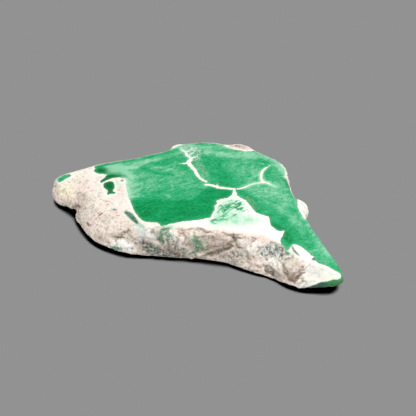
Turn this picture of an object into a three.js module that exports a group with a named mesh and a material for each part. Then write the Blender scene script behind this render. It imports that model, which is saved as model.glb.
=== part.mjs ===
// Variscite slice: one slab sawn from a nodule, its upper face ground and polished to a very low dome and
// its flank left as the craggy natural rind. It lies on its flat sawn underside.
// Units are millimetres and +Z is up. The origin is on the resting surface, under the middle of the stone.
import * as THREE from "three";
import { mergeVertices } from "three/addons/utils/BufferGeometryUtils.js";
import { ImprovedNoise } from "three/addons/math/ImprovedNoise.js";

// Driving dimensions
const THICKNESS = 9.5; // at the crown of the polished face
const CROWN = { x: 1, y: 4 }; // where the polished face is highest
const DOME_RADIUS = { x: 840, y: 550 }; // how flat the dome is, along X and along Y
const RIM_WIDTH = 1.1; // the polished face rolls over to its edge in this width
const RIM_DROP = 0.3;
const LEAST_RIM_SLANT = 0.4; // keeps the rolled edge narrow where the outline points at the hub
const HUB = { x: 6, y: 8 }; // the rings of the face and of the base close in on this point
const PLAN_MIDDLE = { x: -0.6, y: 0.3 }; // of the outline as it is drawn below; the origin goes under it

// How finely the stone is netted
const AROUND = 180;
const FACE_RINGS = [0.2, 0.4, 0.6, 0.78, 0.91];
const SHOULDER_ROWS = 9;
const UNDERCUT_ROWS = 3;
const BASE_RING = 0.55;

// Stations run anticlockwise, seen from above, from the left end along the front, round the tip and along the
// back. Each gives the edge of the polished face, the girdle (the widest line of the flank, with its height),
// how far the base stands in from the girdle, how round the shoulder is between face and girdle (0 is a straight
// slope and 1 a quarter ellipse), and how craggy the rind is there.
const STATIONS = [
  { face: [-43.3, 12.0], girdle: [-45.2, 12.8, 3.6], foot: 2.5, round: 0.8, crag: 0.4 },
  { face: [-41.6, 10.4], girdle: [-44.3, 9.9, 2.6], foot: 2.5, round: 0.9, crag: 0.4 },
  { face: [-39.2, 9.9], girdle: [-42.2, 8.0, 2.2], foot: 2.2, round: 0.9, crag: 0.4 },
  { face: [-36.8, 8.6], girdle: [-39.6, 6.6, 2.0], foot: 2.0, round: 0.8, crag: 0.5 },
  { face: [-34.2, 6.2], girdle: [-37.2, 3.9, 2.0], foot: 2.0, round: 0.6, crag: 0.6 },
  { face: [-31.6, 2.6], girdle: [-36.2, 0.4, 2.0], foot: 2.2, round: 0.7, crag: 0.5 },
  { face: [-29.4, -1.6], girdle: [-35.1, -3.4, 2.2], foot: 3.0, round: 0.7, crag: 0.5 },
  { face: [-27.0, -5.6], girdle: [-33.2, -7.4, 2.3], foot: 3.5, round: 0.7, crag: 0.5 },
  { face: [-24.0, -9.0], girdle: [-29.4, -11.2, 2.4], foot: 4.0, round: 0.6, crag: 0.6 },
  { face: [-20.2, -11.6], girdle: [-24.0, -14.2, 2.4], foot: 3.5, round: 0.5, crag: 0.8 },
  { face: [-16.0, -12.9], girdle: [-18.0, -15.4, 2.2], foot: 2.5, round: 0.4, crag: 0.9 },
  { face: [-11.0, -12.9], girdle: [-12.0, -17.0, 2.0], foot: 1.8, round: 0.3, crag: 1.0 },
  { face: [-5.5, -12.4], girdle: [-5.5, -17.3, 1.8], foot: 1.5, round: 0.3, crag: 1.0 },
  { face: [0.0, -12.8], girdle: [0.0, -17.8, 1.6], foot: 1.2, round: 0.3, crag: 1.0 },
  { face: [6.0, -13.4], girdle: [6.0, -18.8, 1.6], foot: 1.2, round: 0.3, crag: 1.0 },
  { face: [12.0, -14.6], girdle: [11.8, -21.2, 1.8], foot: 1.4, round: 0.3, crag: 1.0 },
  { face: [17.5, -16.2], girdle: [17.0, -23.7, 1.8], foot: 1.6, round: 0.3, crag: 0.9 },
  { face: [22.5, -18.2], girdle: [21.6, -25.4, 2.0], foot: 1.8, round: 0.3, crag: 0.9 },
  { face: [26.8, -20.6], girdle: [26.4, -28.0, 2.0], foot: 2.2, round: 0.4, crag: 0.8 },
  { face: [31.0, -23.2], girdle: [31.0, -30.2, 2.3], foot: 3.2, round: 0.4, crag: 0.5 },
  { face: [35.2, -25.8], girdle: [35.6, -31.2, 2.8], foot: 5.0, round: 0.5, crag: 0.3 },
  { face: [38.8, -28.2], girdle: [39.6, -31.9, 3.6], foot: 7.5, round: 0.7, crag: 0.2 },
  { face: [41.4, -30.2], girdle: [42.2, -32.1, 4.2], foot: 9.5, round: 0.8, crag: 0.1 },
  { face: [42.4, -29.8], girdle: [43.6, -30.8, 4.4], foot: 9.5, round: 0.8, crag: 0.1 },
  { face: [41.4, -26.4], girdle: [42.3, -26.2, 4.4], foot: 7.0, round: 0.7, crag: 0.2 },
  { face: [38.8, -20.2], girdle: [39.5, -19.8, 4.4], foot: 4.5, round: 0.6, crag: 0.3 },
  { face: [36.0, -13.0], girdle: [36.7, -12.7, 4.4], foot: 3.0, round: 0.6, crag: 0.5 },
  { face: [33.7, -6.8], girdle: [34.5, -6.5, 4.4], foot: 2.5, round: 0.5, crag: 0.6 },
  { face: [31.8, -0.6], girdle: [32.9, -0.2, 4.4], foot: 2.2, round: 0.5, crag: 0.6 },
  { face: [30.4, 5.0], girdle: [31.3, 5.4, 4.4], foot: 2.2, round: 0.5, crag: 0.7 },
  { face: [29.2, 10.6], girdle: [30.1, 10.9, 4.4], foot: 2.2, round: 0.5, crag: 0.7 },
  { face: [29.2, 15.8], girdle: [30.1, 16.4, 4.4], foot: 2.2, round: 0.6, crag: 0.6 },
  { face: [27.4, 21.0], girdle: [28.4, 22.0, 4.4], foot: 2.2, round: 0.6, crag: 0.6 },
  { face: [23.0, 25.0], girdle: [23.6, 26.3, 4.4], foot: 2.4, round: 0.5, crag: 0.7 },
  { face: [17.4, 27.2], girdle: [17.8, 28.9, 4.6], foot: 2.4, round: 0.5, crag: 0.8 },
  { face: [11.6, 29.3], girdle: [12.0, 31.0, 4.6], foot: 2.4, round: 0.5, crag: 0.8 },
  { face: [5.6, 31.7], girdle: [5.8, 32.5, 4.6], foot: 2.2, round: 0.6, crag: 0.6 },
  { face: [-0.6, 31.5], girdle: [-0.8, 32.3, 4.6], foot: 2.2, round: 0.6, crag: 0.6 },
  { face: [-6.2, 28.4], girdle: [-6.6, 29.4, 4.6], foot: 2.2, round: 0.5, crag: 0.7 },
  { face: [-13.0, 25.3], girdle: [-13.4, 26.5, 4.4], foot: 2.2, round: 0.6, crag: 0.6 },
  { face: [-20.0, 22.7], girdle: [-20.4, 24.0, 4.4], foot: 2.2, round: 0.6, crag: 0.6 },
  { face: [-27.0, 20.8], girdle: [-27.4, 22.2, 4.4], foot: 2.2, round: 0.6, crag: 0.6 },
  { face: [-33.8, 18.6], girdle: [-34.4, 20.0, 4.2], foot: 2.4, round: 0.7, crag: 0.5 },
  { face: [-39.4, 16.0], girdle: [-40.3, 17.4, 4.0], foot: 2.6, round: 0.8, crag: 0.4 },
  { face: [-42.6, 14.0], girdle: [-44.2, 15.4, 3.8], foot: 2.6, round: 0.8, crag: 0.4 },
];

// Lumps stand out of the rind and hollows go into it, each fading over its reach from its middle
const LUMPS_AND_HOLLOWS = [
  { name: "knob on the right", middle: [35.0, 0.8, 5.4], reach: 3.8, rise: 4.2 },
  { name: "swelling at the back right", middle: [14.6, 29.6, 7.4], reach: 5.2, rise: 2.1 },
  { name: "swelling at the back left", middle: [-5.8, 29.2, 7.8], reach: 2.4, rise: 1.6 },
  { name: "notch under the left lobe", middle: [-36.8, 3.2, 1.8], reach: 3.2, rise: -1.2 },
  { name: "ledge hollow on the left", middle: [-22.4, -12.6, 5.4], reach: 2.6, rise: -1.3 },
  { name: "swelling under the ledge", middle: [-21.0, -14.4, 3.8], reach: 2.8, rise: 1.1 },
  { name: "dark hollow", middle: [-12.0, -15.4, 4.8], reach: 3.6, rise: -1.9 },
  { name: "green boulder", middle: [-8.4, -13.8, 6.8], reach: 2.8, rise: 1.4 },
  { name: "cream ridge", middle: [-4.2, -14.4, 6.8], reach: 2.0, rise: 1.1 },
  { name: "swelling with the green spot", middle: [1.2, -15.4, 5.4], reach: 3.4, rise: 1.2 },
  { name: "overhanging bulge", middle: [8.4, -16.0, 6.4], reach: 3.6, rise: 1.9 },
  { name: "hollow under the bulge", middle: [7.6, -18.6, 3.0], reach: 3.2, rise: -2.0 },
  { name: "cleft beside the bulge", middle: [13.2, -18.6, 5.6], reach: 2.0, rise: -1.7 },
  { name: "smooth block", middle: [16.6, -18.4, 6.8], reach: 3.4, rise: 1.2 },
  { name: "speckled hollow", middle: [22.6, -22.0, 5.8], reach: 3.2, rise: -1.2 },
  { name: "cleft before the boulder", middle: [22.8, -25.2, 3.0], reach: 2.2, rise: -1.5 },
  { name: "round boulder", middle: [28.0, -26.0, 4.8], reach: 3.8, rise: 1.6 },
  { name: "dip before the tip", middle: [32.6, -27.8, 4.6], reach: 2.6, rise: -0.8 },
];

// Crags of the rind: wavelengths and heights of the noise laid over the lumps
const CRAGS = [
  { wavelength: 7.5, height: 1.4 },
  { wavelength: 3.4, height: 0.9 },
];

function polishedHeight(x, y) {
  const sagX = (x - CROWN.x) ** 2 / (2 * DOME_RADIUS.x);
  const sagY = (y - CROWN.y) ** 2 / (2 * DOME_RADIUS.y);
  return THICKNESS - sagX - sagY;
}

// A closed smooth curve through one point of every station
function closedCurve(pointOf) {
  const points = STATIONS.map((station) => new THREE.Vector3(...pointOf(station)));
  return new THREE.CatmullRomCurve3(points, true, "centripetal");
}

const faceCurve = closedCurve(({ face }) => [face[0], face[1], 0]);
const girdleCurve = closedCurve(({ girdle }) => girdle);
const characterCurve = closedCurve(({ foot, round, crag }) => [foot, round, crag]);

// Shares of the way round at which the net has its columns: evenly spaced along the girdle
function columnShares() {
  const fine = 2400;
  const lengths = [0];
  let last = girdleCurve.getPoint(0);
  for (let i = 1; i <= fine; i++) {
    const next = girdleCurve.getPoint(i / fine);
    lengths.push(lengths[i - 1] + next.distanceTo(last));
    last = next;
  }
  const shares = [];
  let i = 0;
  for (let column = 0; column < AROUND; column++) {
    const wanted = (column / AROUND) * lengths[fine];
    while (lengths[i + 1] < wanted) i++;
    shares.push((i + (wanted - lengths[i]) / (lengths[i + 1] - lengths[i])) / fine);
  }
  return shares;
}

// A shoulder or undercut from slope to quarter ellipse: how far out and how far down it is at a share of its run
function roundedRun(share, round) {
  const angle = (share * Math.PI) / 2;
  const out = THREE.MathUtils.lerp(share, Math.sin(angle), round);
  const down = THREE.MathUtils.lerp(share, 1 - Math.cos(angle), round);
  return { out, down };
}

// One column of the net, from the hub of the polished face over its edge, down the flank and in to the base's hub
function columnPoints(share) {
  const edge = faceCurve.getPoint(share);
  const girdle = girdleCurve.getPoint(share);
  const { x: foot, y: round, z: crag } = characterCurve.getPoint(share);
  const tangent = faceCurve.getTangent(share);
  const outward = new THREE.Vector3(tangent.y, -tangent.x, 0).normalize();
  const rimInward = new THREE.Vector3(HUB.x - edge.x, HUB.y - edge.y, 0).normalize();
  const footInward = new THREE.Vector3(HUB.x - girdle.x, HUB.y - girdle.y, 0).normalize();
  const points = [];
  const add = (x, y, z, rough) => points.push({ x, y, z, rough });

  const rimSlant = Math.max(LEAST_RIM_SLANT, -rimInward.dot(outward));
  const inner = edge.clone().addScaledVector(rimInward, RIM_WIDTH / rimSlant);
  for (const ring of [0, ...FACE_RINGS, 1]) {
    const x = THREE.MathUtils.lerp(HUB.x, inner.x, ring);
    const y = THREE.MathUtils.lerp(HUB.y, inner.y, ring);
    add(x, y, polishedHeight(x, y), 0);
  }
  const edgeHeight = polishedHeight(edge.x, edge.y) - RIM_DROP;
  add(edge.x, edge.y, edgeHeight, 0);
  for (let row = 1; row <= SHOULDER_ROWS; row++) {
    const { out, down } = roundedRun(row / SHOULDER_ROWS, round);
    const x = THREE.MathUtils.lerp(edge.x, girdle.x, out);
    const y = THREE.MathUtils.lerp(edge.y, girdle.y, out);
    const z = THREE.MathUtils.lerp(edgeHeight, girdle.z, down);
    add(x, y, z, crag * Math.min(1, row / 2));
  }
  for (let row = 1; row <= UNDERCUT_ROWS; row++) {
    const { out, down } = roundedRun(1 - row / UNDERCUT_ROWS, 0.5);
    const inset = foot * (1 - out);
    const x = girdle.x + footInward.x * inset;
    const y = girdle.y + footInward.y * inset;
    add(x, y, girdle.z * down, row < UNDERCUT_ROWS ? crag * 0.5 : 0);
  }
  const footEdge = points[points.length - 1];
  for (const ring of [BASE_RING, 0]) {
    const x = THREE.MathUtils.lerp(HUB.x, footEdge.x, ring);
    const y = THREE.MathUtils.lerp(HUB.y, footEdge.y, ring);
    add(x, y, 0, 0);
  }
  return points;
}

const noise = new ImprovedNoise();

// How far the rind stands out of the smooth flank at a point
function relief(point, rough) {
  let rise = 0;
  for (const { middle, reach, rise: height } of LUMPS_AND_HOLLOWS) {
    const distance = point.distanceTo(new THREE.Vector3(...middle));
    rise += height * Math.exp(-((distance / reach) ** 2));
  }
  for (const { wavelength, height } of CRAGS) {
    const { x, y, z } = point.clone().divideScalar(wavelength);
    rise += rough * height * noise.noise(x, y, z);
  }
  return rise * Math.min(1, rough * 4);
}

// A lathe's net of columns and rings, laid on the stone from the base upwards, is its closed smooth form
function smoothStone() {
  const columns = columnShares().map((share) => columnPoints(share).reverse());
  const rows = columns[0].length;
  const profile = columns[0].map((point, row) => {
    const onAxis = row === 0 || row === rows - 1;
    return new THREE.Vector2(onAxis ? 0 : 1, row);
  });
  const net = new THREE.LatheGeometry(profile, AROUND);
  const place = net.getAttribute("position");
  const rough = new Float32Array(place.count);
  for (let column = 0; column <= AROUND; column++) {
    for (let row = 0; row < rows; row++) {
      const vertex = column * rows + row;
      const point = columns[column % AROUND][row];
      place.setXYZ(vertex, point.x, point.y, point.z);
      rough[vertex] = point.rough;
    }
  }
  net.deleteAttribute("normal");
  net.deleteAttribute("uv");
  net.setAttribute("rough", new THREE.BufferAttribute(rough, 1));
  return mergeVertices(net, 1e-4);
}

// The rind's lumps, hollows and crags are raised along the normals of the smooth form
function craggyStone() {
  const stone = smoothStone();
  stone.computeVertexNormals();
  const place = stone.getAttribute("position");
  const normal = stone.getAttribute("normal");
  const rough = stone.getAttribute("rough");
  const point = new THREE.Vector3();
  const outward = new THREE.Vector3();
  for (let vertex = 0; vertex < place.count; vertex++) {
    point.fromBufferAttribute(place, vertex);
    outward.fromBufferAttribute(normal, vertex);
    const rise = relief(point, rough.getX(vertex));
    point.addScaledVector(outward, rise);
    place.setXYZ(vertex, point.x, point.y, Math.max(0, point.z));
  }
  stone.translate(-PLAN_MIDDLE.x, -PLAN_MIDDLE.y, 0);
  stone.deleteAttribute("normal");
  stone.deleteAttribute("rough");
  stone.computeVertexNormals();
  return stone;
}

const variscite = new THREE.MeshStandardMaterial({ color: 0x2fa86c, roughness: 0.35, metalness: 0 });

const slice = new THREE.Mesh(craggyStone(), variscite);
slice.name = "variscite_slice";

const stone = new THREE.Group();
stone.add(slice);

export default stone;
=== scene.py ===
"""The looks of a variscite slice: green stone in a cream matrix, with a polished face and a craggy rind.

Lengths are millimetres until the mesh is written. Outlines are drawn "as seen": a point of the stone is
named by where the line of sight from the camera through it meets the level of the polished face's crown.
"""
import bpy
import bmesh
import math
import numpy as np
from mathutils import Matrix, Vector, noise


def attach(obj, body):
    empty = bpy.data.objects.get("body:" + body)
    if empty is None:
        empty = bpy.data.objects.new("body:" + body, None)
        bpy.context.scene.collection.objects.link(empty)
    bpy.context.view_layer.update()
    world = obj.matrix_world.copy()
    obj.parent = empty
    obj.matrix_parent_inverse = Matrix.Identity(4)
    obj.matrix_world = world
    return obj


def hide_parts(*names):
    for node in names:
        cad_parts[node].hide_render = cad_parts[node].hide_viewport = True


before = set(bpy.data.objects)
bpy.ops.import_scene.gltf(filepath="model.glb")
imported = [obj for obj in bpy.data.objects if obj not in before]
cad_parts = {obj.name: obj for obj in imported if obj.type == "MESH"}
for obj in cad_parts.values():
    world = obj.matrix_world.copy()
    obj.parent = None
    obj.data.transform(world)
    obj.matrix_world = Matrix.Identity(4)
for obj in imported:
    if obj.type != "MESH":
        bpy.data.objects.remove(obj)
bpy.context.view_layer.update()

MM = 0.001
NODE = "variscite_slice"

# The frame that the outlines are drawn in, and the polished dome, as they are in the solid
DRAWN_MIDDLE = np.array([-0.6, 0.3, 0.0])
CROWN = (1.0, 4.0, 9.5)
DOME_RADIUS = (840.0, 550.0)
HIGHEST_CRAG = 0.3  # how far the rind's crags may stand above the crown

# The camera, which looks along +Y and down
ELEVATION = math.radians(40)
DISTANCE = 361.0
LENS = 100.0
SENSOR = 36.0
PHOTO_WIDTH = 416
ORIGIN_IN_PHOTO = (193.7, 225.1)  # the pixel where the drawing's origin is seen
EYE = DISTANCE * np.array([0.0, -math.cos(ELEVATION), math.sin(ELEVATION)])

# How much of the sky over the floor is hidden where its shadow is full, and where it ends
SHADOW_EDGE = (0.53, 0.62)

# The net of the finished stone
VOXEL = 0.33
SMOOTH_ROUNDS = 3

# How far below its dome the face still has its full polish, and where the polish ends
POLISH_FULL = 0.3
POLISH_ENDS = 0.75

# The rind's relief: how wide and how high its crags, its lumps and its fine lumps are
CRAG_SIZE = 4.4
CRAG_HEIGHT = 0.55
LUMP_SIZE = 2.9
LUMP_HEIGHT = 0.65
FINE_SIZE = 1.4
FINE_HEIGHT = 0.50

# Between these places along x the relief grows from the calm left end and fades at the calm right end
CALM_LEFT = (-27.0, -20.0)
CALM_RIGHT = (31.0, 34.5)

# Between these places the matrix of the polished face gets more worn towards the left
WORN_LEFT = (-15.0, -24.0)

# The foot is measured in narrow columns and moves no further than this, to the front and to the back. The
# move fades over a short length at both ends of the foot. It ends at the first of each two distances above
# the foot and is full at the second.
FOOT_COLUMN = 0.6
FOOT_SHIFT = (-1.8, 2.4)
FOOT_ENDS = 3.0
FOOT_BAND_SEEN = (6.5, 1.5)
FOOT_BAND_HEIGHT = (6.0, 2.0)

# The knob on the right flank bulges a little more than the solid's
KNOB_MIDDLE = (35.0, 3.4, 5.8)
KNOB_BULGE = 1.3
KNOB_REACH = 3.2

# The tip's flank is green to the right of this place and in front of it, as seen
GREEN_TIP = (30.5, -26.0)

# Distances to outlines and strokes are only worked out to here
FAR = 4.0

# The studio: half the floor's side, the sky's strength, and each light's place and size in metres and power
FLOOR_REACH = 3.0
WORLD_STRENGTH = 0.18
LIGHTS = {
    "overhead": ((0.20, 0.25, 0.75), (0.40, 0.30), 4.6),
    "front_fill": ((-0.20, -0.72, 0.42), (0.50, 0.30), 6.3),
    "right_fill": ((0.75, 0.10, 0.13), (0.30, 0.20), 2.8),
}

# How soft and how ragged the edges of the lace patches and of the strokes of stains and painted shade are
LACE_EDGE = (0.7, 0.35)
STROKE_SOFT = 0.25
STROKE_RAGGED = 0.12

# The colours, as they look on a screen, and the numbers that the two grounds are made of
COLOURS = {
    "emerald": (2, 140, 78), "middle_green": (42, 162, 108), "pale_veil_and_sheen": (142, 204, 168),
    "dark_green": (0, 116, 58), "pale_fleck": (140, 212, 172), "darkest_green": (0, 90, 34),
    "deep_green": (0, 112, 50), "pinkish_white": (240, 221, 211), "cream": (241, 233, 218),
    "dusky_cream": (232, 216, 204), "butter": (250, 243, 214), "olive_dust": (196, 192, 170),
    "brown_grain": (150, 134, 120), "snow_white": (250, 251, 244), "brown_dirt_and_shade": (132, 104, 86),
    "grey_dirt_and_shade": (122, 116, 102), "mint": (166, 220, 186), "pale_wave": (140, 214, 170),
    "dark_wave": (52, 140, 96), "chalk": (202, 211, 208), "brown_stain_and_shade": (112, 82, 62),
    "dull_brown_stain_and_shade": (98, 88, 76), "grey_stain_and_shade": (78, 94, 90), "pale_leaf": (112, 156, 126),
    "dark_leaf": (38, 112, 78), "light_line": (243, 238, 224), "white_margin": (246, 250, 240),
    "faded_green": (146, 198, 174), "dark_stroke": (4, 84, 52), "pale_stroke": (40, 124, 90),
    "lace": (222, 240, 226), "pale_dull_green": (100, 138, 90), "dark_dull_green": (58, 104, 68),
    "pale_edge": (168, 226, 190), "rim_highlight": (226, 230, 214), "dark_crease": (66, 92, 80),
    "sawn_grey": (206, 214, 206), "floor_grey": (146, 146, 146), "black": (0, 0, 0),
}
GREEN_NUMBERS = ("tone", "deepest")
MATRIX_NUMBERS = ("snow", "cavity", "dust", "yellow")


def catmull_rom(points, closed, steps=6):
    """A smooth line through the points, with a few steps between each two."""
    p = np.array(points, float)
    if closed:
        a, b, c, d = np.roll(p, 1, 0), p, np.roll(p, -1, 0), np.roll(p, -2, 0)
    else:
        ends = np.vstack([2 * p[0] - p[1], p, 2 * p[-1] - p[-2]])
        a, b, c, d = ends[:-3], ends[1:-2], ends[2:-1], ends[3:]
    t = np.linspace(0, 1, steps, endpoint=False)[:, None, None]
    line = b + 0.5 * t * ((c - a) + t * ((2 * a - 5 * b + 4 * c - d) + t * (3 * (b - c) + d - a)))
    line = line.transpose(1, 0, 2).reshape(-1, p.shape[1])
    return line if closed else np.vstack([line, p[-1]])


def near(places, shape, margin):
    """Which places are within the margin of a shape's box."""
    low = shape.min(0) - margin
    high = shape.max(0) + margin
    return np.flatnonzero(((places > low) & (places < high)).all(1))


def segment_distance(places, start, end):
    """How far each place is from a straight piece of a line, and how far along the piece it is, 0 to 1."""
    along = end - start
    share = np.clip((places - start) @ along / max(along @ along, 1e-9), 0, 1)
    return np.linalg.norm(places - start - share[:, None] * along, axis=1), share


def inside_outline(places, outline, smooth=True):
    """How far inside a closed outline each place is, in mm, and negative outside it."""
    shape = catmull_rom(outline, True) if smooth else np.array(outline, float)
    result = np.full(len(places), -FAR)
    chosen = near(places, shape, FAR)
    p = places[chosen]
    nearest = np.full(len(p), FAR)
    within = np.zeros(len(p), bool)
    for start, end in zip(shape, np.roll(shape, -1, 0)):
        nearest = np.minimum(nearest, segment_distance(p, start, end)[0])
        crosses = (start[1] > p[:, 1]) != (end[1] > p[:, 1])
        rise = end[1] - start[1] if end[1] != start[1] else 1e-9
        within ^= crosses & (p[:, 0] < start[0] + (end[0] - start[0]) * (p[:, 1] - start[1]) / rise)
    result[chosen] = np.where(within, nearest, -nearest)
    return result


def inside_stroke(places, line, widths):
    """How far inside a drawn stroke each place is. Its width changes evenly between the widths given."""
    shape = catmull_rom(line, False)
    half = np.interp(np.linspace(0, 1, len(shape)), np.linspace(0, 1, len(widths)), widths) / 2
    result = np.full(len(places), -FAR)
    chosen = near(places, shape, FAR)
    p = places[chosen]
    best = np.full(len(p), -FAR)
    for i in range(len(shape) - 1):
        distance, share = segment_distance(p, shape[i], shape[i + 1])
        best = np.maximum(best, half[i] + (half[i + 1] - half[i]) * share - distance)
    result[chosen] = best
    return result


def smoothstep(low, high, values):
    """0 at low and 1 at high, with a soft start and end. Where low is above high, it falls."""
    t = np.clip((values - low) / (high - low), 0, 1)
    return t * t * (3 - 2 * t)


def blobs(places, marks):
    """The sum of soft round marks, each (x, y, reach along x, reach along y, strength)."""
    total = np.zeros(len(places))
    for x, y, reach_x, reach_y, strength in marks:
        spread = ((places[:, 0] - x) / reach_x) ** 2 + ((places[:, 1] - y) / reach_y) ** 2
        total += strength * np.exp(-spread)
    return total


def fractal(points, wavelength, octaves=3, roughness=0.9, seed=0.0):
    """Fractal noise at points in mm, about -1 to 1."""
    shift = Vector((seed, -seed, 2 * seed))
    scale = 1 / wavelength
    return np.array([noise.fractal(Vector(p) * scale + shift, roughness, 2.1, octaves) for p in points])


def ridges(points, wavelength, octaves=3, seed=0.0):
    """Sharp-crested noise at points in mm, about 0 to 1."""
    shift = Vector((seed, seed, -seed))
    scale = 1 / wavelength
    return np.array([
        noise.ridged_multi_fractal(Vector(p) * scale + shift, 0.9, 2.1, octaves, 1.0, 2.0) for p in points
    ]) * 0.5


def billows(points, wavelength, octaves=3, seed=0.0):
    """Round-topped noise with sharp creases, at points in mm, about 0 in a crease to 1 on a top."""
    shift = Vector((2 * seed, seed, -seed))
    scale = 1 / wavelength
    total = np.zeros(len(points))
    share = 1.0
    for octave in range(octaves):
        step = scale * 2.1 ** octave
        total += share * np.array([abs(noise.noise(Vector(p) * step + shift)) for p in points])
        share *= 0.5
    return total * 1.4


# Where the green variscite shows, as seen
LEFT_EDGE = [
    (-31.5, 22), (-31.5, 18.3), (-31.5, 16.6), (-31.7, 15.5), (-30.9, 14.5), (-29.7, 14), (-28.7, 13.8),
    (-27.6, 13.7), (-27.7, 12.8), (-28.2, 11.7), (-29, 10.8), (-29.3, 10), (-28.9, 9.3), (-28.3, 9.7),
    (-27.4, 10.5), (-26.2, 11.4), (-24.9, 11.9), (-23.6, 12.1), (-22.3, 11.7), (-21.4, 11.2), (-21, 9.9),
    (-21.2, 8.2), (-20.9, 6.5), (-20.5, 4.9), (-20.2, 3.2), (-20, 1.8), (-19.5, 0.4), (-19.1, -1.3),
    (-18.5, -3.3), (-17.7, -5.3), (-16.8, -7.2), (-15.8, -8.6), (-14.8, -9.6), (-13.3, -9.9),
    (-11.5, -10.1), (-10.5, -10.6), (-9.9, -11.6), (-9.3, -11.9), (-8.4, -11.4), (-6.8, -10.7),
    (-5.2, -10.2), (-3, -9.6), (-0.5, -9.2), (2, -8.7), (4, -8.1), (5.1, -7.5), (5.4, -6.6),
]
WHITE_LEFT_EDGE = [
    (5.9, -5.2), (6.4, -3.7), (6.4, -2.2), (7.1, -1), (7, 0), (7.4, 0.6), (8.6, 1.2), (9.8, 1.5), (11, 2.3),
    (11.9, 3.4), (12.4, 4.6),
]
WHITE_RIGHT_EDGE = [
    (13.2, 4.6), (13.2, 3.6), (13.9, 2.4), (15.2, 1.2), (16.2, 0.1), (16.8, -1.2), (17.6, -2.4), (18.2, -4),
    (19, -5.4), (20.3, -6.2), (21.3, -6.6), (22.7, -7.4), (22.9, -9.2), (23, -10.5), (23.3, -11.8),
    (24.4, -13.1), (25.4, -14.1), (26.8, -13.9), (26.9, -14.8), (26.2, -16.5), (25.7, -17.7), (25.7, -19.4),
    (26.3, -21.5), (27, -23.6), (28, -22.4), (28.6, -20.9), (29.3, -20.3), (30.1, -20.1), (31, -20.8),
    (32.2, -22.1), (33.4, -23.7), (34.8, -25.8), (34.7, -26.6), (34.2, -27), (35.1, -27.5), (36.1, -28.6),
    (37.4, -29.3), (38.9, -30.3), (40.2, -31.7), (41.5, -32.9), (42, -33.6),
]
ROUND_THE_TIP = [
    (41.8, -34.4), (41.3, -35.2), (40.6, -35.4), (39.8, -35.3), (38.8, -35.7), (37.4, -36.1), (36.1, -36.4),
    (35, -37), (33.9, -37.7), (32.7, -38.3), (31.5, -38.9), (32, -42), (40, -43), (47, -38),
]
AROUND_THE_BACK = [
    (49, -30), (43, -16), (37, -9.5), (33.9, -9.1), (32.8, -6.7), (32.1, -4.5), (31.8, -2.7), (31.7, -0.3),
    (31.7, 1.3), (31.6, 2.9), (34, 5), (36, 14), (32, 22), (26, 26.5), (22.5, 27), (20.5, 26.2), (19, 25.9),
    (16.5, 25.9), (14.1, 26.7), (12.5, 27.2), (11, 27.9), (9.8, 29), (8.8, 31), (6, 34), (0, 35),
    (-2.2, 31.5), (-3.1, 29.7), (-5.2, 28.6), (-7.1, 27.2), (-9, 27.4), (-14, 30), (-24, 26),
]
GREEN_BODY = LEFT_EDGE + WHITE_LEFT_EDGE + WHITE_RIGHT_EDGE + ROUND_THE_TIP + AROUND_THE_BACK

GREEN_ISLANDS = {
    "blob": [
        (-28.1, 8.9), (-27.4, 9.7), (-26.1, 10.1), (-25.2, 9.7), (-24.8, 8.4), (-24.6, 7), (-25, 5.7),
        (-24.8, 4.9), (-24.2, 4.7), (-24.3, 3.9), (-25.5, 3.9), (-26.5, 3.3), (-26.9, 3.9), (-26.6, 4.9),
        (-27, 5.9), (-27.7, 6.5), (-28.1, 7.6),
    ],
    "spot": [(-22.9, 10.7), (-22.4, 11.2), (-21.9, 10.8), (-22.1, 10), (-22.7, 10)],
    "rim patch": [
        (-42.8, 11.4), (-41.9, 12.5), (-40.9, 13.1), (-39.4, 13.6), (-38.5, 13.1), (-39, 12.3), (-40.5, 11),
        (-41.9, 9.3), (-42.7, 9.4), (-43.2, 10.3),
    ],
}

# White veins, each a line and its widths from end to end, as seen
VEINS = [
    ([(-1.2, 21.2), (-1.6, 19.6), (-0.5, 17.4), (0.5, 15.5), (1.2, 13.3), (2.3, 11.3),
      (4, 9.9)], [1.5, 1.3, 1, 0.8]),
    ([(-4.4, 19.3), (-3, 19.4), (-1.6, 19.6)], [0.3, 0.9]),
    ([(3.7, 8.4), (5.5, 8.1), (7.5, 7.1), (9.5, 6.7), (11.5, 6.3), (12.8, 6.1)], [0.8, 1.1, 1, 0.6]),
    ([(7.5, 7.4), (7.3, 9.1)], [0.5, 0.2]),
    ([(12.8, 6.3), (12.6, 5.2), (12.7, 3.6)], [0.6, 0.9, 1.4]),
    ([(12.8, 6.1), (14.2, 6.3), (15.7, 7), (17.5, 8.2), (19, 9), (20.6, 9.3),
      (21.8, 9.8)], [0.5, 0.6, 0.4, 0.6]),
    ([(21.7, 9.6), (21.3, 11.5), (21.4, 13.5), (21.8, 15), (22.6, 16.5), (23.6, 17.7),
      (24.7, 18.5)], [1, 0.9, 0.7, 0.2]),
    ([(21.7, 9.9), (23, 9.3), (24, 8.5), (25.4, 7.4)], [0.9, 0.6, 0.1]),
    ([(-1.3, 21), (-0.6, 22.4), (0.8, 23), (1.6, 24.2)], [1.2, 0.9, 0.4, 0.2]),
    ([(-0.8, 22.3), (-2, 23.4), (-2.6, 25.4), (-4, 27.2)], [0.8, 0.7, 0.9, 0.5]),
    ([(-2.6, 25.6), (-1.2, 26.4), (-0.2, 27.8)], [0.5, 0.4, 0.2]),
    ([(-1.8, 23.6), (-0.4, 24.8), (0.4, 26.4)], [0.4, 0.3, 0.2]),
    ([(28.6, 12.3), (29.2, 11.9), (29.9, 11.6)], [0.2, 0.6, 0.5]),
]
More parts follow.
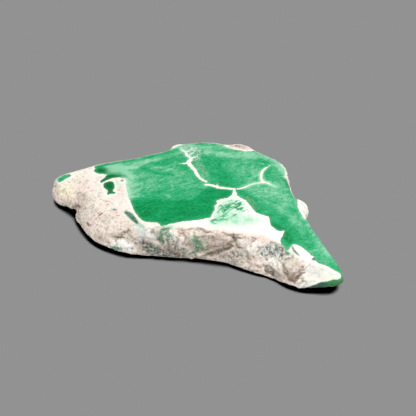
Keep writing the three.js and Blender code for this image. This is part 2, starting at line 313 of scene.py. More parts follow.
CRACKLE_PATCHES = [
    ([(-4.2, 27.6), (-2, 29), (1.6, 28.8), (2.2, 25), (2, 22), (0, 20.8), (-2.2, 22.4), (-3.8, 25)], 1),
    ([(0.2, 19.4), (2.2, 19.6), (4.4, 14.4), (4.6, 10.6), (2.6, 12), (1.2, 15.4)], 0.28),
    ([(15.6, 2.2), (17.4, 2.4), (19.6, -2.6), (19, -4.6), (17.6, -2), (16.2, 0.6)], 0.22),
    ([(-23.6, 11.6), (-20.6, 11.6), (-19.4, 5), (-19, 1), (-20.4, 1), (-21.6, 7)], 0.5),
]

# The front edge of the polish, as seen, and a way round the stone behind it
POLISHED_FACE = [
    (-50, -8), (-34, -12), (-24, -11.6), (-17.1, -11.3), (-15.4, -12.5), (-13.6, -12.4), (-11.2, -11.8),
    (-9.2, -11.9), (-7.2, -11.7), (-5.4, -12.4), (-3.5, -12.4), (-1.2, -12.7), (1.2, -12.6), (3.7, -13.6),
    (6.2, -13.9), (8.1, -14.4), (10.6, -15.3), (14.3, -15.7), (17.1, -16.1), (19.8, -17.1), (22.4, -18.2),
    (24.6, -19.2), (26.4, -20.4), (27.2, -23.5), (28.8, -24.7), (30.3, -26.4), (31.6, -27.4), (32.9, -28),
    (34.6, -27.4), (37.8, -30.2), (40.3, -32.2), (42, -34.4), (48, -40), (55, 0), (40, 45), (-20, 45),
    (-55, 30),
]

# Forms of the rind along the front, as seen. A groove is a line with its width, its depth and, where it is
# drawn brown along its line, the brown's widths and strength. A swelling is an outline with its height.
GROOVES = [
    ([(-23.8, -16.4), (-22.3, -16.8), (-20.6, -16.9)], 1.1, 0.9, ([0.5, 1.2, 0.5], 1)),
    ([(-19.5, -15.2), (-18.3, -16.9), (-17.1, -18), (-16.4, -18.1)], 0.7, 0.5, ([0.4, 0.7, 0.5], 0.7)),
    ([(-16.8, -20.1), (-15.8, -21.8), (-16.2, -23)], 0.6, 0.35, ([0.4, 0.5, 0.3], 0.55)),
    ([(-12.2, -13.4), (-11.1, -16.1), (-10.1, -18.7), (-8.8, -20.7), (-7.2, -23),
      (-5, -24.6)], 0.9, 0.8, None),
    ([(-4.9, -13), (-3, -13.8), (-1.5, -13.2), (0.7, -12.9), (2.7, -13.6),
      (5.2, -14.4)], 0.6, 0.4, ([0.5, 0.9, 0.7], 0.55)),
    ([(3, -24.4), (6.3, -23), (8.7, -22), (10.8, -21.2), (12.2, -19.8)], 2.1, 1.5, None),
    ([(8.4, -14.6), (9.9, -15.5), (11.5, -15.9), (14.3, -15.6)], 0.7, 0.7, ([0.4, 1, 1, 0.4], 0.85)),
    ([(11.1, -15.9), (12.1, -17.2), (12.4, -19), (12.9, -21.1),
      (14.1, -21.7)], 0.8, 0.8, ([0.9, 0.8, 0.7, 1, 0.6], 0.95)),
    ([(12.3, -17), (13.8, -17.3), (15.4, -16.8)], 0.6, 0.6, ([0.8, 0.7, 0.3], 0.8)),
    ([(14.9, -20.2), (16.2, -19), (17.4, -17.8), (18.2, -17.3)], 0.5, 0.4, None),
    ([(15.4, -23.2), (15.6, -24.6), (15.1, -26.1), (17, -26.7)], 0.7, 0.5, ([0.4, 0.7, 0.5], 0.6)),
    ([(2.8, -15.9), (4.9, -17.5), (5.5, -19), (6.9, -19)], 0.6, 0.4, ([0.4, 0.7, 0.5], 0.6)),
    ([(18.9, -27), (18.9, -24), (20.1, -21.8), (22, -20.8)], 0.6, 0.4, None),
    ([(20.2, -28.8), (21.6, -31.9), (22.9, -33.6), (24.2, -35.4)], 1.2, 1, None),
    ([(24.8, -27.4), (26.6, -26.6), (28.6, -25.6)], 0.7, 0.5, None),
    ([(28.9, -21.1), (29.2, -22.5), (29.8, -23.7), (30.4, -24.7), (30.8, -25.4)], 0.6, 0.5, None),
    ([(25.9, -32.1), (26.6, -33.4), (27.4, -35.4), (28.2, -36.3)], 0.8, 0.5, None),
    ([(26, -31.3), (27.3, -32.3), (28.5, -33), (29.9, -32.1)], 0.5, 0.35, None),
    ([(26.4, -29.6), (27.8, -30.2), (29.6, -29.8)], 0.4, 0.25, None),
    ([(-28.3, -6.4), (-27.4, -5.2)], 0.5, 0.4, None),
    ([(-31.9, -10.2), (-31.2, -11.9)], 0.5, 0.35, None),
    ([(-37.4, -2.4), (-36, -2.2), (-34.6, -2.8)], 1.2, 0.5, None),
]
SWELLINGS = [
    ([(-23.8, -18.6), (-22.1, -17.7), (-20.2, -18), (-18.4, -19.9), (-17, -21.8), (-18.3, -23.8),
      (-21.5, -22.5), (-24.2, -20.7)], 0.3),
    ([(-14.8, -13.1), (-12.4, -12.9), (-10.9, -16.4), (-11.2, -18.4), (-13.7, -18.6),
      (-14.9, -16.4)], 0.45),
    ([(-10.6, -13.4), (-8.4, -12.5), (-6.1, -13.6), (-4.6, -18), (-4.8, -21.4), (-6.6, -22), (-8.6, -19.6),
      (-10.4, -16.4)], 0.9),
    ([(-1.4, -18.6), (0.2, -16.2), (3, -16.8), (5.4, -19.8), (4, -22.6), (0.8, -24), (-1.4, -22.6)], 0.55),
    ([(3.4, -15.4), (7, -15.2), (10.6, -16.4), (11.6, -18.8), (9.6, -20.6), (6.4, -21.2), (4.6, -19)], 0.7),
    ([(12.6, -18.1), (15, -18), (15.6, -19.4), (13.2, -20.7)], 0.5),
    ([(14.9, -20.4), (18.8, -18), (20.1, -19.6), (18.6, -22.6), (17.8, -26.1), (15.6, -24.9)], 0.35),
    ([(19.7, -27.8), (23.3, -26.4), (25.2, -29), (24.6, -30.7), (21.9, -31.3)], 0.5),
    ([(26.1, -27.6), (27.7, -25.9), (29.4, -26.1), (31, -27.4), (31.4, -30.4), (30.6, -33), (29.2, -35.4),
      (27.4, -35), (26, -31.3)], 0.8),
    ([(29.4, -21), (30.4, -20.6), (34.8, -26), (34.2, -27), (31.8, -26.2), (30.4, -24.2)], 0.3),
]

# Forms of the outline that are moved sideways: a middle, a reach, and the way along x and y
NUDGES = [((-34.6, 0.5, 3), 4.5, (-1.6, 0))]

# The back edge of the polished face, and the stone's foot along the front, from left to right, as seen
BACK_EDGE = [(-44, 8.5), (-31, 15.5), (-14, 21), (0, 26), (14, 24.5), (22, 22.5), (27, 17), (30, 10)]
FOOT = [
    (-41, -0.8), (-38.6, -2.2), (-37.1, -3.7), (-35.6, -6.6), (-34.4, -10), (-32.6, -14.5), (-30.7, -16.8),
    (-28.8, -19.1), (-26.9, -20.4), (-23.3, -22.6), (-19.7, -24), (-16.2, -24.8), (-10.9, -25.4),
    (-5.7, -25.8), (-2.2, -26.5), (1.2, -26.2), (4.7, -27), (8.2, -27.9), (11.6, -29.3), (15, -31.3),
    (20, -33.5), (23.3, -35.6), (28.3, -38.1), (31, -38.7),
]

# Stains of the rind and the matrix, as seen, with painted shade among them: some brown and grey patches and
# strokes darken the hollow under the overhanging lump and the darker middle-left part of the front flank,
# and the crease strokes are painted shade. A patch is (outline, strength), and a stroke is (line, widths,
# strength).
# The grooves are drawn brown along their lines too.
STAIN_AND_SHADE_PATCHES = {
    "brown": [
        ([(25.6, -28.3), (27.5, -26.7), (29.9, -26.9), (31.2, -29.1), (31.1, -31.5), (29.8, -33.8),
          (28.3, -35.5), (26.8, -34.8), (25.7, -32.2)], 0.24),
        ([(5.6, -17.4), (8.3, -17.1), (10.8, -18.1), (11.2, -20.5), (9.3, -22.2), (6, -22.7), (4.2, -23.6),
          (3.7, -22.6), (5.1, -20.5)], 0.4),
        # Painted shadow: the dark band under the overhanging lump.
        ([(3.5, -23.9), (6.3, -22.3), (8.6, -21.3), (10.8, -20.6), (11.2, -21.7), (8.8, -23.7),
          (6.2, -24.9), (3.7, -25.2)], 0.85),
        ([(-0.8, -16.8), (1.6, -15.6), (4.7, -16), (8, -19.6), (6.6, -22.2), (2.7, -23.6), (-0.8, -25),
          (-2.6, -20)], 0.46),
        ([(4.6, -16.4), (8, -15.6), (10.8, -17.4), (10.4, -20.6), (7.4, -20.6), (5.4, -19)], 0.52),
        ([(-15.6, -17.4), (-12.6, -19.4), (-9, -21.6), (-3, -22.4), (-3, -25.6), (-9, -26),
          (-14.6, -24)], 0.38),
        ([(-16.8, -18.6), (-15.4, -18.4), (-14.8, -21), (-14.4, -24.4), (-16, -23.6)], 0.4),
        ([(10, -20.6), (13.6, -21.2), (15.6, -24), (14.4, -28), (10, -27.6), (7, -25.6)], 0.22),
        ([(-27.6, -16.6), (-24, -15.6), (-20, -14.8), (-17.4, -17.2), (-18.6, -19.4),
          (-23.4, -17.2)], 0.22),
        ([(25.9, -31.3), (28, -32.6), (30.6, -31.4), (30.4, -33.6), (29, -36.2), (27.2, -35.6),
          (26.4, -33)], 0.4),
        ([(25.8, -27.8), (28.8, -26.6), (31.2, -28.6), (31, -32.6), (27, -32), (25.6, -30)], 0.22),
        ([(-29.4, -16.1), (-28.1, -18.1), (-26.4, -18.7), (-24.6, -19.6), (-25.5, -17.9), (-26.7, -16.4),
          (-28.3, -15.2)], 0.45),
        ([(10.6, 28.6), (13.6, 27.8), (17, 26.8), (18.6, 27), (15.4, 29.6), (11.4, 30.6)], 0.4),
        ([(-5, -24.4), (0, -24.8), (3.4, -25.2), (2, -26.8), (-4, -26.2)], 0.45),
        ([(-6.8, -23), (-2.6, -25.2), (-2.6, -26.4), (-7.6, -25.6)], 0.4),
        ([(15, -21.4), (16.6, -23), (17.2, -26), (15.4, -26.6), (14.6, -24)], 0.25),
    ],
    "grey": [
        ([(-35.2, 3.4), (-33.5, 4.4), (-31.4, 2.8), (-30.7, 0.9), (-32.4, 0), (-34.4, 0.9)], 0.3),
        ([(-28.4, -7.1), (-26.7, -6.2), (-24.9, -7.1), (-24.8, -9.5), (-26.3, -10.7), (-28.1, -9.5)], 0.26),
        ([(-34.6, -1.6), (-32.3, -1.3), (-30.2, -2.8), (-30.5, -5.3), (-32.8, -5.6), (-34.6, -4.4)], 0.2),
        ([(-15.6, -17.8), (-14.1, -18), (-12.2, -19.6), (-9.9, -21.1), (-7.6, -23.2), (-6.3, -25.4),
          (-8.7, -26.4), (-12, -25.6), (-14.3, -23), (-15.5, -20.1)], 1),
        ([(-16.6, -16.4), (-14.4, -17), (-12, -19), (-13.6, -21.6), (-16.2, -20.6)], 0.25),
        ([(-9.4, -22), (-6, -21.6), (-2.4, -22.6), (0.6, -24.6), (-2, -26.2), (-8, -26.2)], 0.55),
        ([(-7.4, -14.6), (-5.8, -16.4), (-4.3, -19.3), (-4.3, -21.8), (-5.8, -21.8), (-7.3, -19.5)], 0.75),
        ([(19, -22.6), (20.5, -21), (23.4, -19.9), (25.4, -19.5), (26.6, -21.4), (26.6, -24.8), (25, -27.1),
          (23, -26), (19.8, -26.5), (18.7, -24.7)], 0.75),
        ([(20.9, -31.4), (22.2, -31), (24, -34), (25, -36.6), (23, -36)], 0.8),
        ([(7.8, -24.9), (11, -22), (14.1, -22.6), (15.5, -25.5), (13.9, -29), (11.2, -29),
          (8.1, -27.3)], 0.5),
        ([(8, -28), (14, -29.5), (18, -32), (16, -33), (9, -29.6)], 0.4),
        ([(33, -29.6), (36, -30.4), (36.6, -33), (33.6, -34.4), (31.8, -32)], 0.14),
        ([(30.4, -36.4), (33.6, -36.2), (34.6, -37.6), (31.4, -39)], 0.35),
    ],
    "chalk": [
        ([(-18.2, -10.6), (-15.6, -12), (-14.4, -12.4), (-14.2, -15.8), (-13.8, -18.6), (-14.8, -19.4),
          (-16.2, -18.7), (-17, -14.1)], 0.9),
        ([(-13.8, -16.4), (-12.4, -16), (-11, -17.8), (-12.4, -19.4), (-14, -19)], 0.4),
        ([(-24.9, -3.2), (-24, -3.4), (-23.6, -4.4), (-24.6, -4.6)], 0.6),
        ([(33.6, -29), (36, -30), (37.4, -32.4), (34.4, -33.4), (32.8, -31.6)], 0.3),
    ],
    "leaf": [
        ([(-10.6, -12.9), (-7.8, -12), (-6.1, -12.3), (-6.5, -13), (-8, -13.6), (-8.6, -14.6),
          (-8.9, -15.8), (-8.9, -17.2), (-8.1, -18.8), (-7.7, -20), (-9.6, -19), (-10.8, -16.4)], 1),
        ([(-10.2, -13.6), (-7.4, -13.4), (-7, -16), (-7.6, -18.8), (-9.6, -18.2)], 0.5),
        ([(-1.3, -19), (-0.4, -16.2), (1, -16), (2.1, -18), (3.4, -20.4), (3, -22.8), (1, -23.6),
          (-0.4, -22.5)], 0.85),
        ([(0.4, -16.6), (2, -18.4), (4.6, -19.4), (4.4, -21.8), (1.5, -24.4), (-0.6, -23.9)], 0.45),
        ([(-24.7, -20.9), (-22.3, -20.8), (-21.1, -22.8), (-23.3, -23.6)], 0.95),
        ([(-3.6, -23.4), (-2, -23.2), (0.6, -24.4), (-1, -25.2), (-3.4, -24.8)], 0.45),
        ([(-13.4, -20.6), (-11.6, -20), (-10, -22.4), (-12, -23.4)], 0.6),
        ([(25.6, -17.4), (27, -17), (29.2, -20), (28.8, -21.6), (27.4, -24.8), (26.3, -22.4),
          (25.6, -19.6)], 1),
    ],
    "snow": [
        ([(-23.8, -18.3), (-22.1, -17.4), (-20.2, -17.7), (-18.4, -19.8), (-17, -21.6), (-18.3, -23.8),
          (-21.5, -22.5), (-24.2, -20.5)], 1),
        ([(28.6, -20.3), (30.1, -20), (31.9, -22), (35, -25.7), (34.6, -28), (32.8, -28.4), (31.7, -26.6),
          (30.4, -25.4), (29, -22.6)], 1),
        ([(31.8, -28), (34.6, -26.4), (42.4, -33.4), (41.8, -35.6), (35.7, -36.8), (31.6, -39), (30, -37.6),
          (31, -33)], 0.6),
        ([(-9, -12.4), (-3, -9), (5, -7), (12.8, 5), (23.8, -9), (27.2, -14.3), (25.9, -18.5), (20, -15.5),
          (12, -14), (4, -12.3), (-3, -11.7)], 0.95),
        ([(-14.8, -12.4), (-12.4, -12.2), (-10.8, -15.4), (-12.2, -17.4), (-14.2, -16.4)], 0.7),
        ([(-7, -13.7), (-5.1, -15.8), (-3.7, -18.4), (-3, -21.8), (-4.2, -21), (-5.4, -18)], 0.8),
        ([(14.9, -20.4), (18.8, -18), (20.1, -19.6), (18.6, -22.6), (17.4, -25.1), (15.8, -24)], 0.5),
        ([(12.6, -18.1), (15, -18), (15.6, -19.4), (13.2, -20.5)], 0.55),
        ([(19.7, -27.8), (23.3, -26.6), (25.2, -29), (24, -30.4), (21.9, -30.6)], 0.5),
        ([(-40, 14.5), (-33, 16.5), (-31, 15), (-29, 8), (-24, 2), (-20, 2), (-17, -8), (-20, -9), (-26, 0),
          (-31, 6), (-35, 13)], 0.3),
        ([(31.6, 3), (34, 2), (36.5, -2), (36, -9), (33.4, -9)], 0.6),
        ([(19, -22.4), (20.5, -20.8), (23.4, -19.6), (25.6, -19.4), (26.6, -21.4), (26.6, -25), (25, -27.1),
          (19.8, -26.8)], 0.7),
    ],
    "dust": [
        ([(-36.6, 4.6), (-32.9, 5.3), (-30.2, 2.7), (-28.7, -2.5), (-25, -5.5), (-22.8, -10), (-23.8, -16),
          (-28, -19), (-33, -14), (-36.5, -6), (-37.5, -1)], 0.85),
        ([(-44, 12), (-36, 18), (-31, 14), (-23.6, 10), (-20.6, 2), (-17, -8), (-16, -14), (-22, -22),
          (-34, -18), (-42, 0)], 0.75),
        ([(-43.6, 6.6), (-41.6, 5), (-40.6, 2), (-38, 0), (-41, -1), (-43.8, 2)], 0.8),
        ([(32.5, -4), (33, 8), (40, 8), (42, 2), (38, -6)], 0.6),
    ],
    "yellow": [
        ([(-41.4, 9.2), (-38.4, 9.4), (-37, 5.6), (-37.4, 1.8), (-40.3, 1), (-42.4, 4.3)], 1),
    ],
}
STAIN_AND_SHADE_STROKES = {
    "brown": [
        ([(-20.6, -14.5), (-19.7, -14.6)], [0.9, 0.7], 0.95),
        ([(-20.1, -17.8), (-19.1, -19.3)], [0.5, 0.4], 0.6),
        ([(-26.3, -19), (-25, -19.2), (-24.5, -19.8)], [0.4, 0.8, 0.4], 0.8),
        ([(-12.2, -13.4), (-11.1, -16.1), (-10.1, -18.7), (-8.8, -20.7), (-7.2, -23), (-5, -24.6),
          (-2.2, -25.5)], [0.3, 0.7, 1.1, 0.8], 0.65),
        ([(-3, -13.8), (-1.4, -15.6), (-1.8, -17.6)], [0.7, 0.6], 0.5),
        # Painted shadow: this stroke and the next darken the band under the overhanging lump.
        ([(2.4, -25.4), (5, -24.2), (7.8, -23.2), (10.4, -21.8), (11.6, -20.6)], [0.4, 1, 1.2, 0.7], 1),
        ([(4, -24), (6.4, -22.6), (9, -21.4)], [0.4, 0.8, 0.4], 0.9),
        ([(14.9, -20.2), (16.2, -19), (17.4, -17.8), (18.2, -17.3),
          (19, -18.1)], [0.3, 0.4, 0.5, 0.3], 0.55),
        ([(-36.9, -2.6), (-35.8, -2.2), (-34.7, -2.6)], [0.8, 1.4, 0.7], 0.75),
        ([(-28.5, -6.6), (-27.6, -5.5)], [0.5, 0.2], 1.6),
        ([(-31.8, -10.4), (-31.3, -11.7)], [0.4, 0.3], 1.4),
        ([(-43.4, 7.4), (-42.6, 7.2)], [0.5, 0.3], 0.8),
        ([(25.9, -32.1), (26.6, -33.2), (27.1, -34.8), (28.2, -36.2), (29.4, -34.8),
          (30.2, -33.2)], [0.5, 0.9, 1.3, 0.7], 0.8),
        ([(26, -31.3), (27.3, -32.3), (28.5, -33), (29.9, -32.1),
          (30.7, -30.5)], [0.4, 0.7, 0.6, 0.4], 0.6),
        ([(26.2, -27.4), (27.4, -26.2), (29, -26.2)], [0.3, 0.6, 0.3], 0.6),
        ([(27.4, -28.4), (28.6, -29.6), (28, -31)], [0.3, 0.5, 0.3], 0.4),
        ([(20.2, -29.4), (21.6, -31.9), (22.9, -33.6)], [0.4, 0.8, 0.5], 0.6),
        ([(4.9, -16), (5.9, -17.4), (5.4, -19)], [0.5, 0.8, 0.5], 0.8),
        ([(2.2, -13.2), (3.6, -14.6), (5.2, -14.3)], [0.4, 0.9, 0.5], 0.9),
        ([(7.4, -18.2), (8.5, -17.8), (9.4, -18.6)], [0.4, 0.6, 0.4], 0.7),
        ([(1.1, -12.3), (2.7, -13.2), (3.8, -14.8), (5.2, -14.3)], [0.4, 0.7, 0.8, 0.4], 0.9),
        ([(5.2, -16.6), (6, -18.1), (7.9, -17.2), (9.2, -18.5)], [0.4, 0.7, 0.5, 0.3], 0.75),
        ([(-3, -15.3), (-2.3, -16.6), (-2.5, -18.1), (-3.1, -20.5)], [0.6, 0.7, 0.4], 0.7),
        ([(4.9, -20.5), (6.5, -19.7), (8.3, -20.5), (10.2, -21.7)], [0.3, 0.6, 0.5], 0.6),
        ([(8.6, -14.6), (10.4, -16), (11.8, -15.3), (13.7, -17.2)], [0.5, 0.8, 0.6, 0.8], 0.9),
        ([(12, -17.4), (12.4, -19.5), (13.2, -21.2), (14.9, -21.7)], [0.7, 0.5, 0.6, 0.3], 0.8),
        ([(14.8, -23.2), (16, -24.7), (15.2, -26.7)], [0.4, 0.5, 0.3], 0.6),
        ([(17.2, -16.8), (18.3, -17.6), (17.1, -19.3), (15.2, -20.6)], [0.5, 0.6, 0.4], 0.6),
        ([(17.8, -28.7), (19.1, -30.1), (20.5, -29.1), (21.4, -31.5)], [0.4, 0.6, 0.5], 0.7),
        ([(21.3, -29.1), (22.8, -30.7), (24.2, -33), (25.4, -35.4)], [0.4, 0.6, 0.4], 0.6),
        ([(24.6, -26.7), (25.8, -29.1), (26.9, -32.2), (28.3, -35)], [0.4, 0.6, 0.9, 0.6], 0.7),
        ([(26.6, -28.3), (28.3, -27.3), (30.1, -28.3)], [0.3, 0.5, 0.3], 0.5),
        ([(27.3, -30.7), (28.7, -29.9), (29.6, -31.5), (28.7, -33)], [0.3, 0.5, 0.4], 0.5),
    ],
    "grey": [
        ([(36.6, -30.6), (37.1, -31.3)], [0.5, 0.9], 0.55),
        ([(-24.8, -4.2), (-23.9, -4)], [0.6, 0.9], 0.9),
        ([(20.6, -29.4), (22.2, -31.8), (23.6, -34.2)], [0.4, 1, 0.9], 0.7),
        ([(-6.6, -15.2), (-5.7, -16.7), (-4.3, -17.9), (-3.4, -19.8)], [0.7, 0.8, 0.6], 0.8),
        ([(-6.1, -19.5), (-5.2, -21.2), (-3.4, -22.6), (-1.6, -23.6)], [1.4, 1.6, 1], 0.7),
        ([(-15.4, -19.1), (-13.7, -21.2), (-11.9, -22.7), (-9.2, -23.6),
          (-7.4, -24.4)], [1.6, 2.2, 2.2, 1.4], 0.9),
        ([(10.8, -22.8), (11.8, -24.7), (11.2, -25.9)], [0.8, 0.7], 0.8),
        ([(8.5, -26.3), (10.6, -27.3), (13.3, -28.9), (15.6, -30.9)], [0.6, 0.9, 0.6], 0.5),
        ([(13.7, -25.1), (14.9, -27.1), (16.7, -29.3)], [0.5, 0.8, 0.5], 0.5),
    ],
    "leaf": [
        ([(-8.3, -13.2), (-7.8, -15.7), (-7.6, -19)], [1.5, 1.5, 1.1], 0.85),
        ([(2.9, -17.8), (3.9, -19.8), (3.2, -22.6)], [1.3, 1.6, 1.1], 0.6),
        ([(-2.3, -24.1), (-0.7, -24.4)], [0.8, 0.6], 0.7),
        ([(5.2, -9.6), (6.2, -8.9), (7.6, -9.3)], [0.6, 1, 0.4], 0.95),
        ([(7.2, -7.9), (8.6, -7), (9.8, -7.2)], [0.3, 0.6, 0.3], 0.7),
        ([(6.6, -5.9), (8, -5), (9, -5.2)], [0.3, 0.6, 0.3], 0.75),
        ([(8.6, -2.6), (10.2, -1.2), (12, -0.4)], [0.3, 0.5, 0.3], 0.6),
    ],
    # Painted shade: dark lines in creases, under the overhanging lump and along the upper edge of the tip's
    # green band.
    "crease_shade": [
        ([(28.9, -21.1), (29.2, -22.5), (29.8, -23.7), (30.4, -24.7),
          (30.8, -25.4)], [0.5, 0.7, 0.5, 0.1], 1),
        ([(35, -26), (34.5, -26.7)], [0.5, 0.8], 0.9),
        ([(31.8, -38.9), (34, -38.3), (36.1, -37.5), (37.8, -37.1)], [0.5, 1.3, 1.6, 0.6], 1.2),
        ([(11.6, -15.8), (12.4, -17.4), (12.6, -19.4)], [0.4, 0.3, 0.2], 0.4),
        ([(5.4, -23.7), (8, -22.8), (10.4, -21.5)], [0.3, 0.9, 0.3], 0.55),
        ([(27.6, 12), (28.8, 9.5), (29.8, 6.5), (30.9, 4), (31.7, 1.8),
          (31.7, -0.3)], [0.3, 0.4, 0.3], 0.75),
    ],
    "light": [
        ([(15.4, -21.8), (17, -23.2), (18, -25.1)], [1, 1.2, 0.8], 0.6),
        ([(8.9, -22.7), (10.2, -23.9), (11.3, -25.1)], [0.5, 0.7, 0.5], 0.9),
        ([(9.5, -25.9), (10.8, -27.1)], [0.8, 0.6], 0.9),
        ([(13.1, -22.7), (14.4, -23.6), (15.1, -24.9)], [0.6, 0.8, 0.5], 0.8),
        ([(13.3, -25.6), (14.7, -27.6), (15.8, -29.2)], [0.7, 0.9, 0.7], 0.8),
        ([(11.4, -19.8), (12.5, -21.2)], [0.8, 0.6], 0.9),
        ([(12.6, -16.2), (14.2, -16.6), (16.5, -16.2)], [0.4, 0.6, 0.4], 0.8),
        ([(12.8, -18.8), (14.3, -19.5), (16.2, -19.1)], [1, 1.3, 1.1], 0.8),
        ([(-9.5, -14.6), (-8.9, -15.2)], [0.3, 0.25], 0.8),
        ([(-8.6, -16.2), (-8.2, -17.2)], [0.3, 0.25], 0.8),
        ([(-7.1, -14.3), (-5.5, -15.3), (-4.4, -17.4), (-3.4, -19.1)], [0.5, 0.8, 0.8, 0.4], 0.8),
        ([(-1.6, -16.7), (-0.7, -15.7), (1.1, -16)], [0.4, 0.5, 0.4], 0.7),
        ([(-12.5, -18.5), (-10.6, -19.1)], [0.7, 0.5], 0.8),
        ([(19.3, -25.1), (19.1, -23.4), (20.5, -21.8)], [0.6, 0.7, 0.5], 0.9),
        ([(21.2, -23.8), (21.8, -25.5)], [0.6, 0.4], 0.9),
        ([(23.5, -21), (22.9, -22.6)], [0.5, 0.4], 0.9),
        ([(24.7, -19.7), (25.7, -21)], [0.6, 0.5], 0.8),
        ([(25.3, -23.4), (24.4, -24.7)], [0.5, 0.4], 0.9),
        ([(21.7, -26.1), (23.8, -26.3), (24.6, -26.9)], [0.6, 0.7, 0.4], 0.8),
        ([(8, -26.7), (9.8, -27.5)], [0.6, 0.5], 0.7),
        ([(13.2, -23.4), (14.5, -25.1), (15.2, -26.7)], [0.4, 0.6, 0.4], 0.8),
        ([(13.6, -27.1), (12.5, -28.7)], [0.5, 0.4], 0.7),
        ([(16.1, -31.5), (17.7, -32.2), (19.2, -33)], [0.5, 0.6, 0.4], 0.7),
        ([(17.3, -29.1), (18.9, -28.7), (20.1, -30.3)], [0.6, 0.9, 0.6], 0.7),
        ([(22.1, -28.3), (23.6, -29.9), (25.1, -32.2)], [0.9, 1.1, 0.7], 0.7),
        ([(24.9, -35), (26.1, -36.1)], [0.6, 0.5], 0.8),
        ([(27.7, -36.9), (28.6, -38)], [0.8, 0.6], 0.8),
    ],
    "stroke": [
        ([(-20.6, -5.2), (-19.3, -6.6), (-18.2, -8.4), (-17, -10.4)], [1.2, 1.9, 1.7, 0.9], 1),
    ],
    "faded": [
        ([(-17.4, -9.6), (-16.4, -11), (-14.9, -12.4)], [1, 1.8, 1], 0.9),
    ],
}
STAIN_AND_SHADE_STROKES["brown"] += [(line, *crease_darkening) for line, _, _, crease_darkening in GROOVES if crease_darkening]

# How soft and how ragged the edges of each colour's patches are, in mm
STAIN_AND_SHADE_EDGES = {
    "brown": (1, 0.9), "grey": (1, 1), "chalk": (1.2, 0.7), "leaf": (0.9, 1.1), "snow": (1, 0.7),
    "dust": (1.5, 0.8), "yellow": (1.2, 0.5),
}

# Mint washes and wavy green rows on the white matrix, and the tones of the green. A mark is (x, y, reach
# along x, reach along y, strength). A tone above 0 is pale and one below 0 deep. The pale tone along the
# back edge of the face is partly the green's own colour and partly painted sheen.
MINT_WASH = [
    (12, -9.5, 6.5, 2.4, 0.9), (11.5, -0.5, 2.8, 2, 0.9), (10, -5, 4.5, 3.5, 0.8),
    (17, -8.5, 4.5, 2.2, 0.6), (-6.8, -12, 1.6, 0.9, 0.8), (-24.1, 8.4, 1.1, 1.3, 0.75),
    (6.5, -9, 2.4, 2.2, 0.9), (-8, -11.9, 2, 0.8, 0.6), (28.4, -23.6, 1, 1.6, 0.6),
    (38.6, -33, 3, 1.2, 0.3), (-27, 7, 2.6, 4, 0.25), (-17.6, -7, 2.6, 2.6, 0.45), (-3, -10.6, 4, 0.8, 0.4),
    (-23.6, 9.4, 0.7, 0.8, 0.8),
]
WAVY_GREEN = [
    (13.5, -2.6, 3.6, 2.4, 1.2), (9.4, -5.6, 2.8, 1.8, 1.1), (6.6, -9.4, 2, 1.3, 1.3),
    (12, -0.8, 2.8, 1.5, 1.1), (9.6, -8.4, 2, 1, 0.8), (14.2, -6, 3, 1.4, 0.9), (9, -2.6, 2, 1.2, 0.7),
]
TONE_MARKS = [
    (-25, 16.8, 4, 1.8, 0.5), (2, 28, 12, 2, 0.9), (27.5, 15, 3, 6, 0.3), (29.5, 5, 3.5, 6, 0.15),
    (24, 5, 6, 5, 0.45), (33, -8, 4, 7, 0.45), (38, -22, 3, 8, 0.8), (18, 13, 6, 5, 0.35),
    (-24.5, 15.4, 3.4, 2.4, 0.5), (8, 16, 8, 6, 0.2), (20.5, 5, 5.5, 5.5, 0.6), (13, 18, 5, 4, 0.45),
    (-23.4, 15.8, 3, 1.8, 0.5), (26, -4, 4, 5, 0.3), (-14, 8, 7, 5, 0.2), (-22, 17, 5, 2, 0.4),
    (0, 8, 6, 5, 0.25), (-9, 14, 8, 6, 0.5), (-4, 6, 6, 4, 0.15), (4, 17, 4, 5, -0.35), (9, 12, 6, 5, -0.3),
    (-40.5, 12, 3, 2, -0.2), (37, -38.5, 7, 2.6, -1.3), (42.5, -35, 1.2, 2.2, -0.6), (33, -2, 1.2, 3, -0.6),
]
TONE_FIELDS = [
    ([(-22.5, 14.6), (-20.3, 14.8), (-18.2, 11.7), (-17.7, 5.8), (-18.4, 1.4), (-19.8, 1.6), (-20.9, 5.8),
      (-21.9, 10.4)], 1, 1.2),
    ([(-22, 16.4), (-15.9, 15.4), (-12, 11.7), (-12.4, 3.3), (-18.7, 0.9), (-20.6, 6),
      (-21.4, 12)], 0.3, 2.2),
    ([(-20, 1.3), (-17.9, 0.9), (-14.8, 0.9), (-12.5, 1.7), (-10.1, 1.1), (-6.5, 0.5), (-2.6, 0.8),
      (0.3, 1.7), (3.7, 6.2), (6.6, 7.5), (11.2, 6), (12, 3.6), (8.1, -2.3), (5.5, -8.4), (-4.5, -11),
      (-9, -12.6), (-11, -11.6), (-16.4, -10.4), (-19, -5.1), (-20.6, -1.4)], -0.75, 1),
    ([(-18.8, -1.7), (-14, -0.5), (-12.3, -6), (-12.9, -9.6), (-15.8, -9.2), (-17.4, -4.8)], -0.4, 1.5),
    ([(25.7, 4.1), (28.9, 3.9), (31.3, 0.7), (30.5, -2.8), (27.6, -2.2)], 0.35, 1.4),
    ([(19, 18), (22, 19), (21, 14), (19, 13)], 0.25, 1),
]
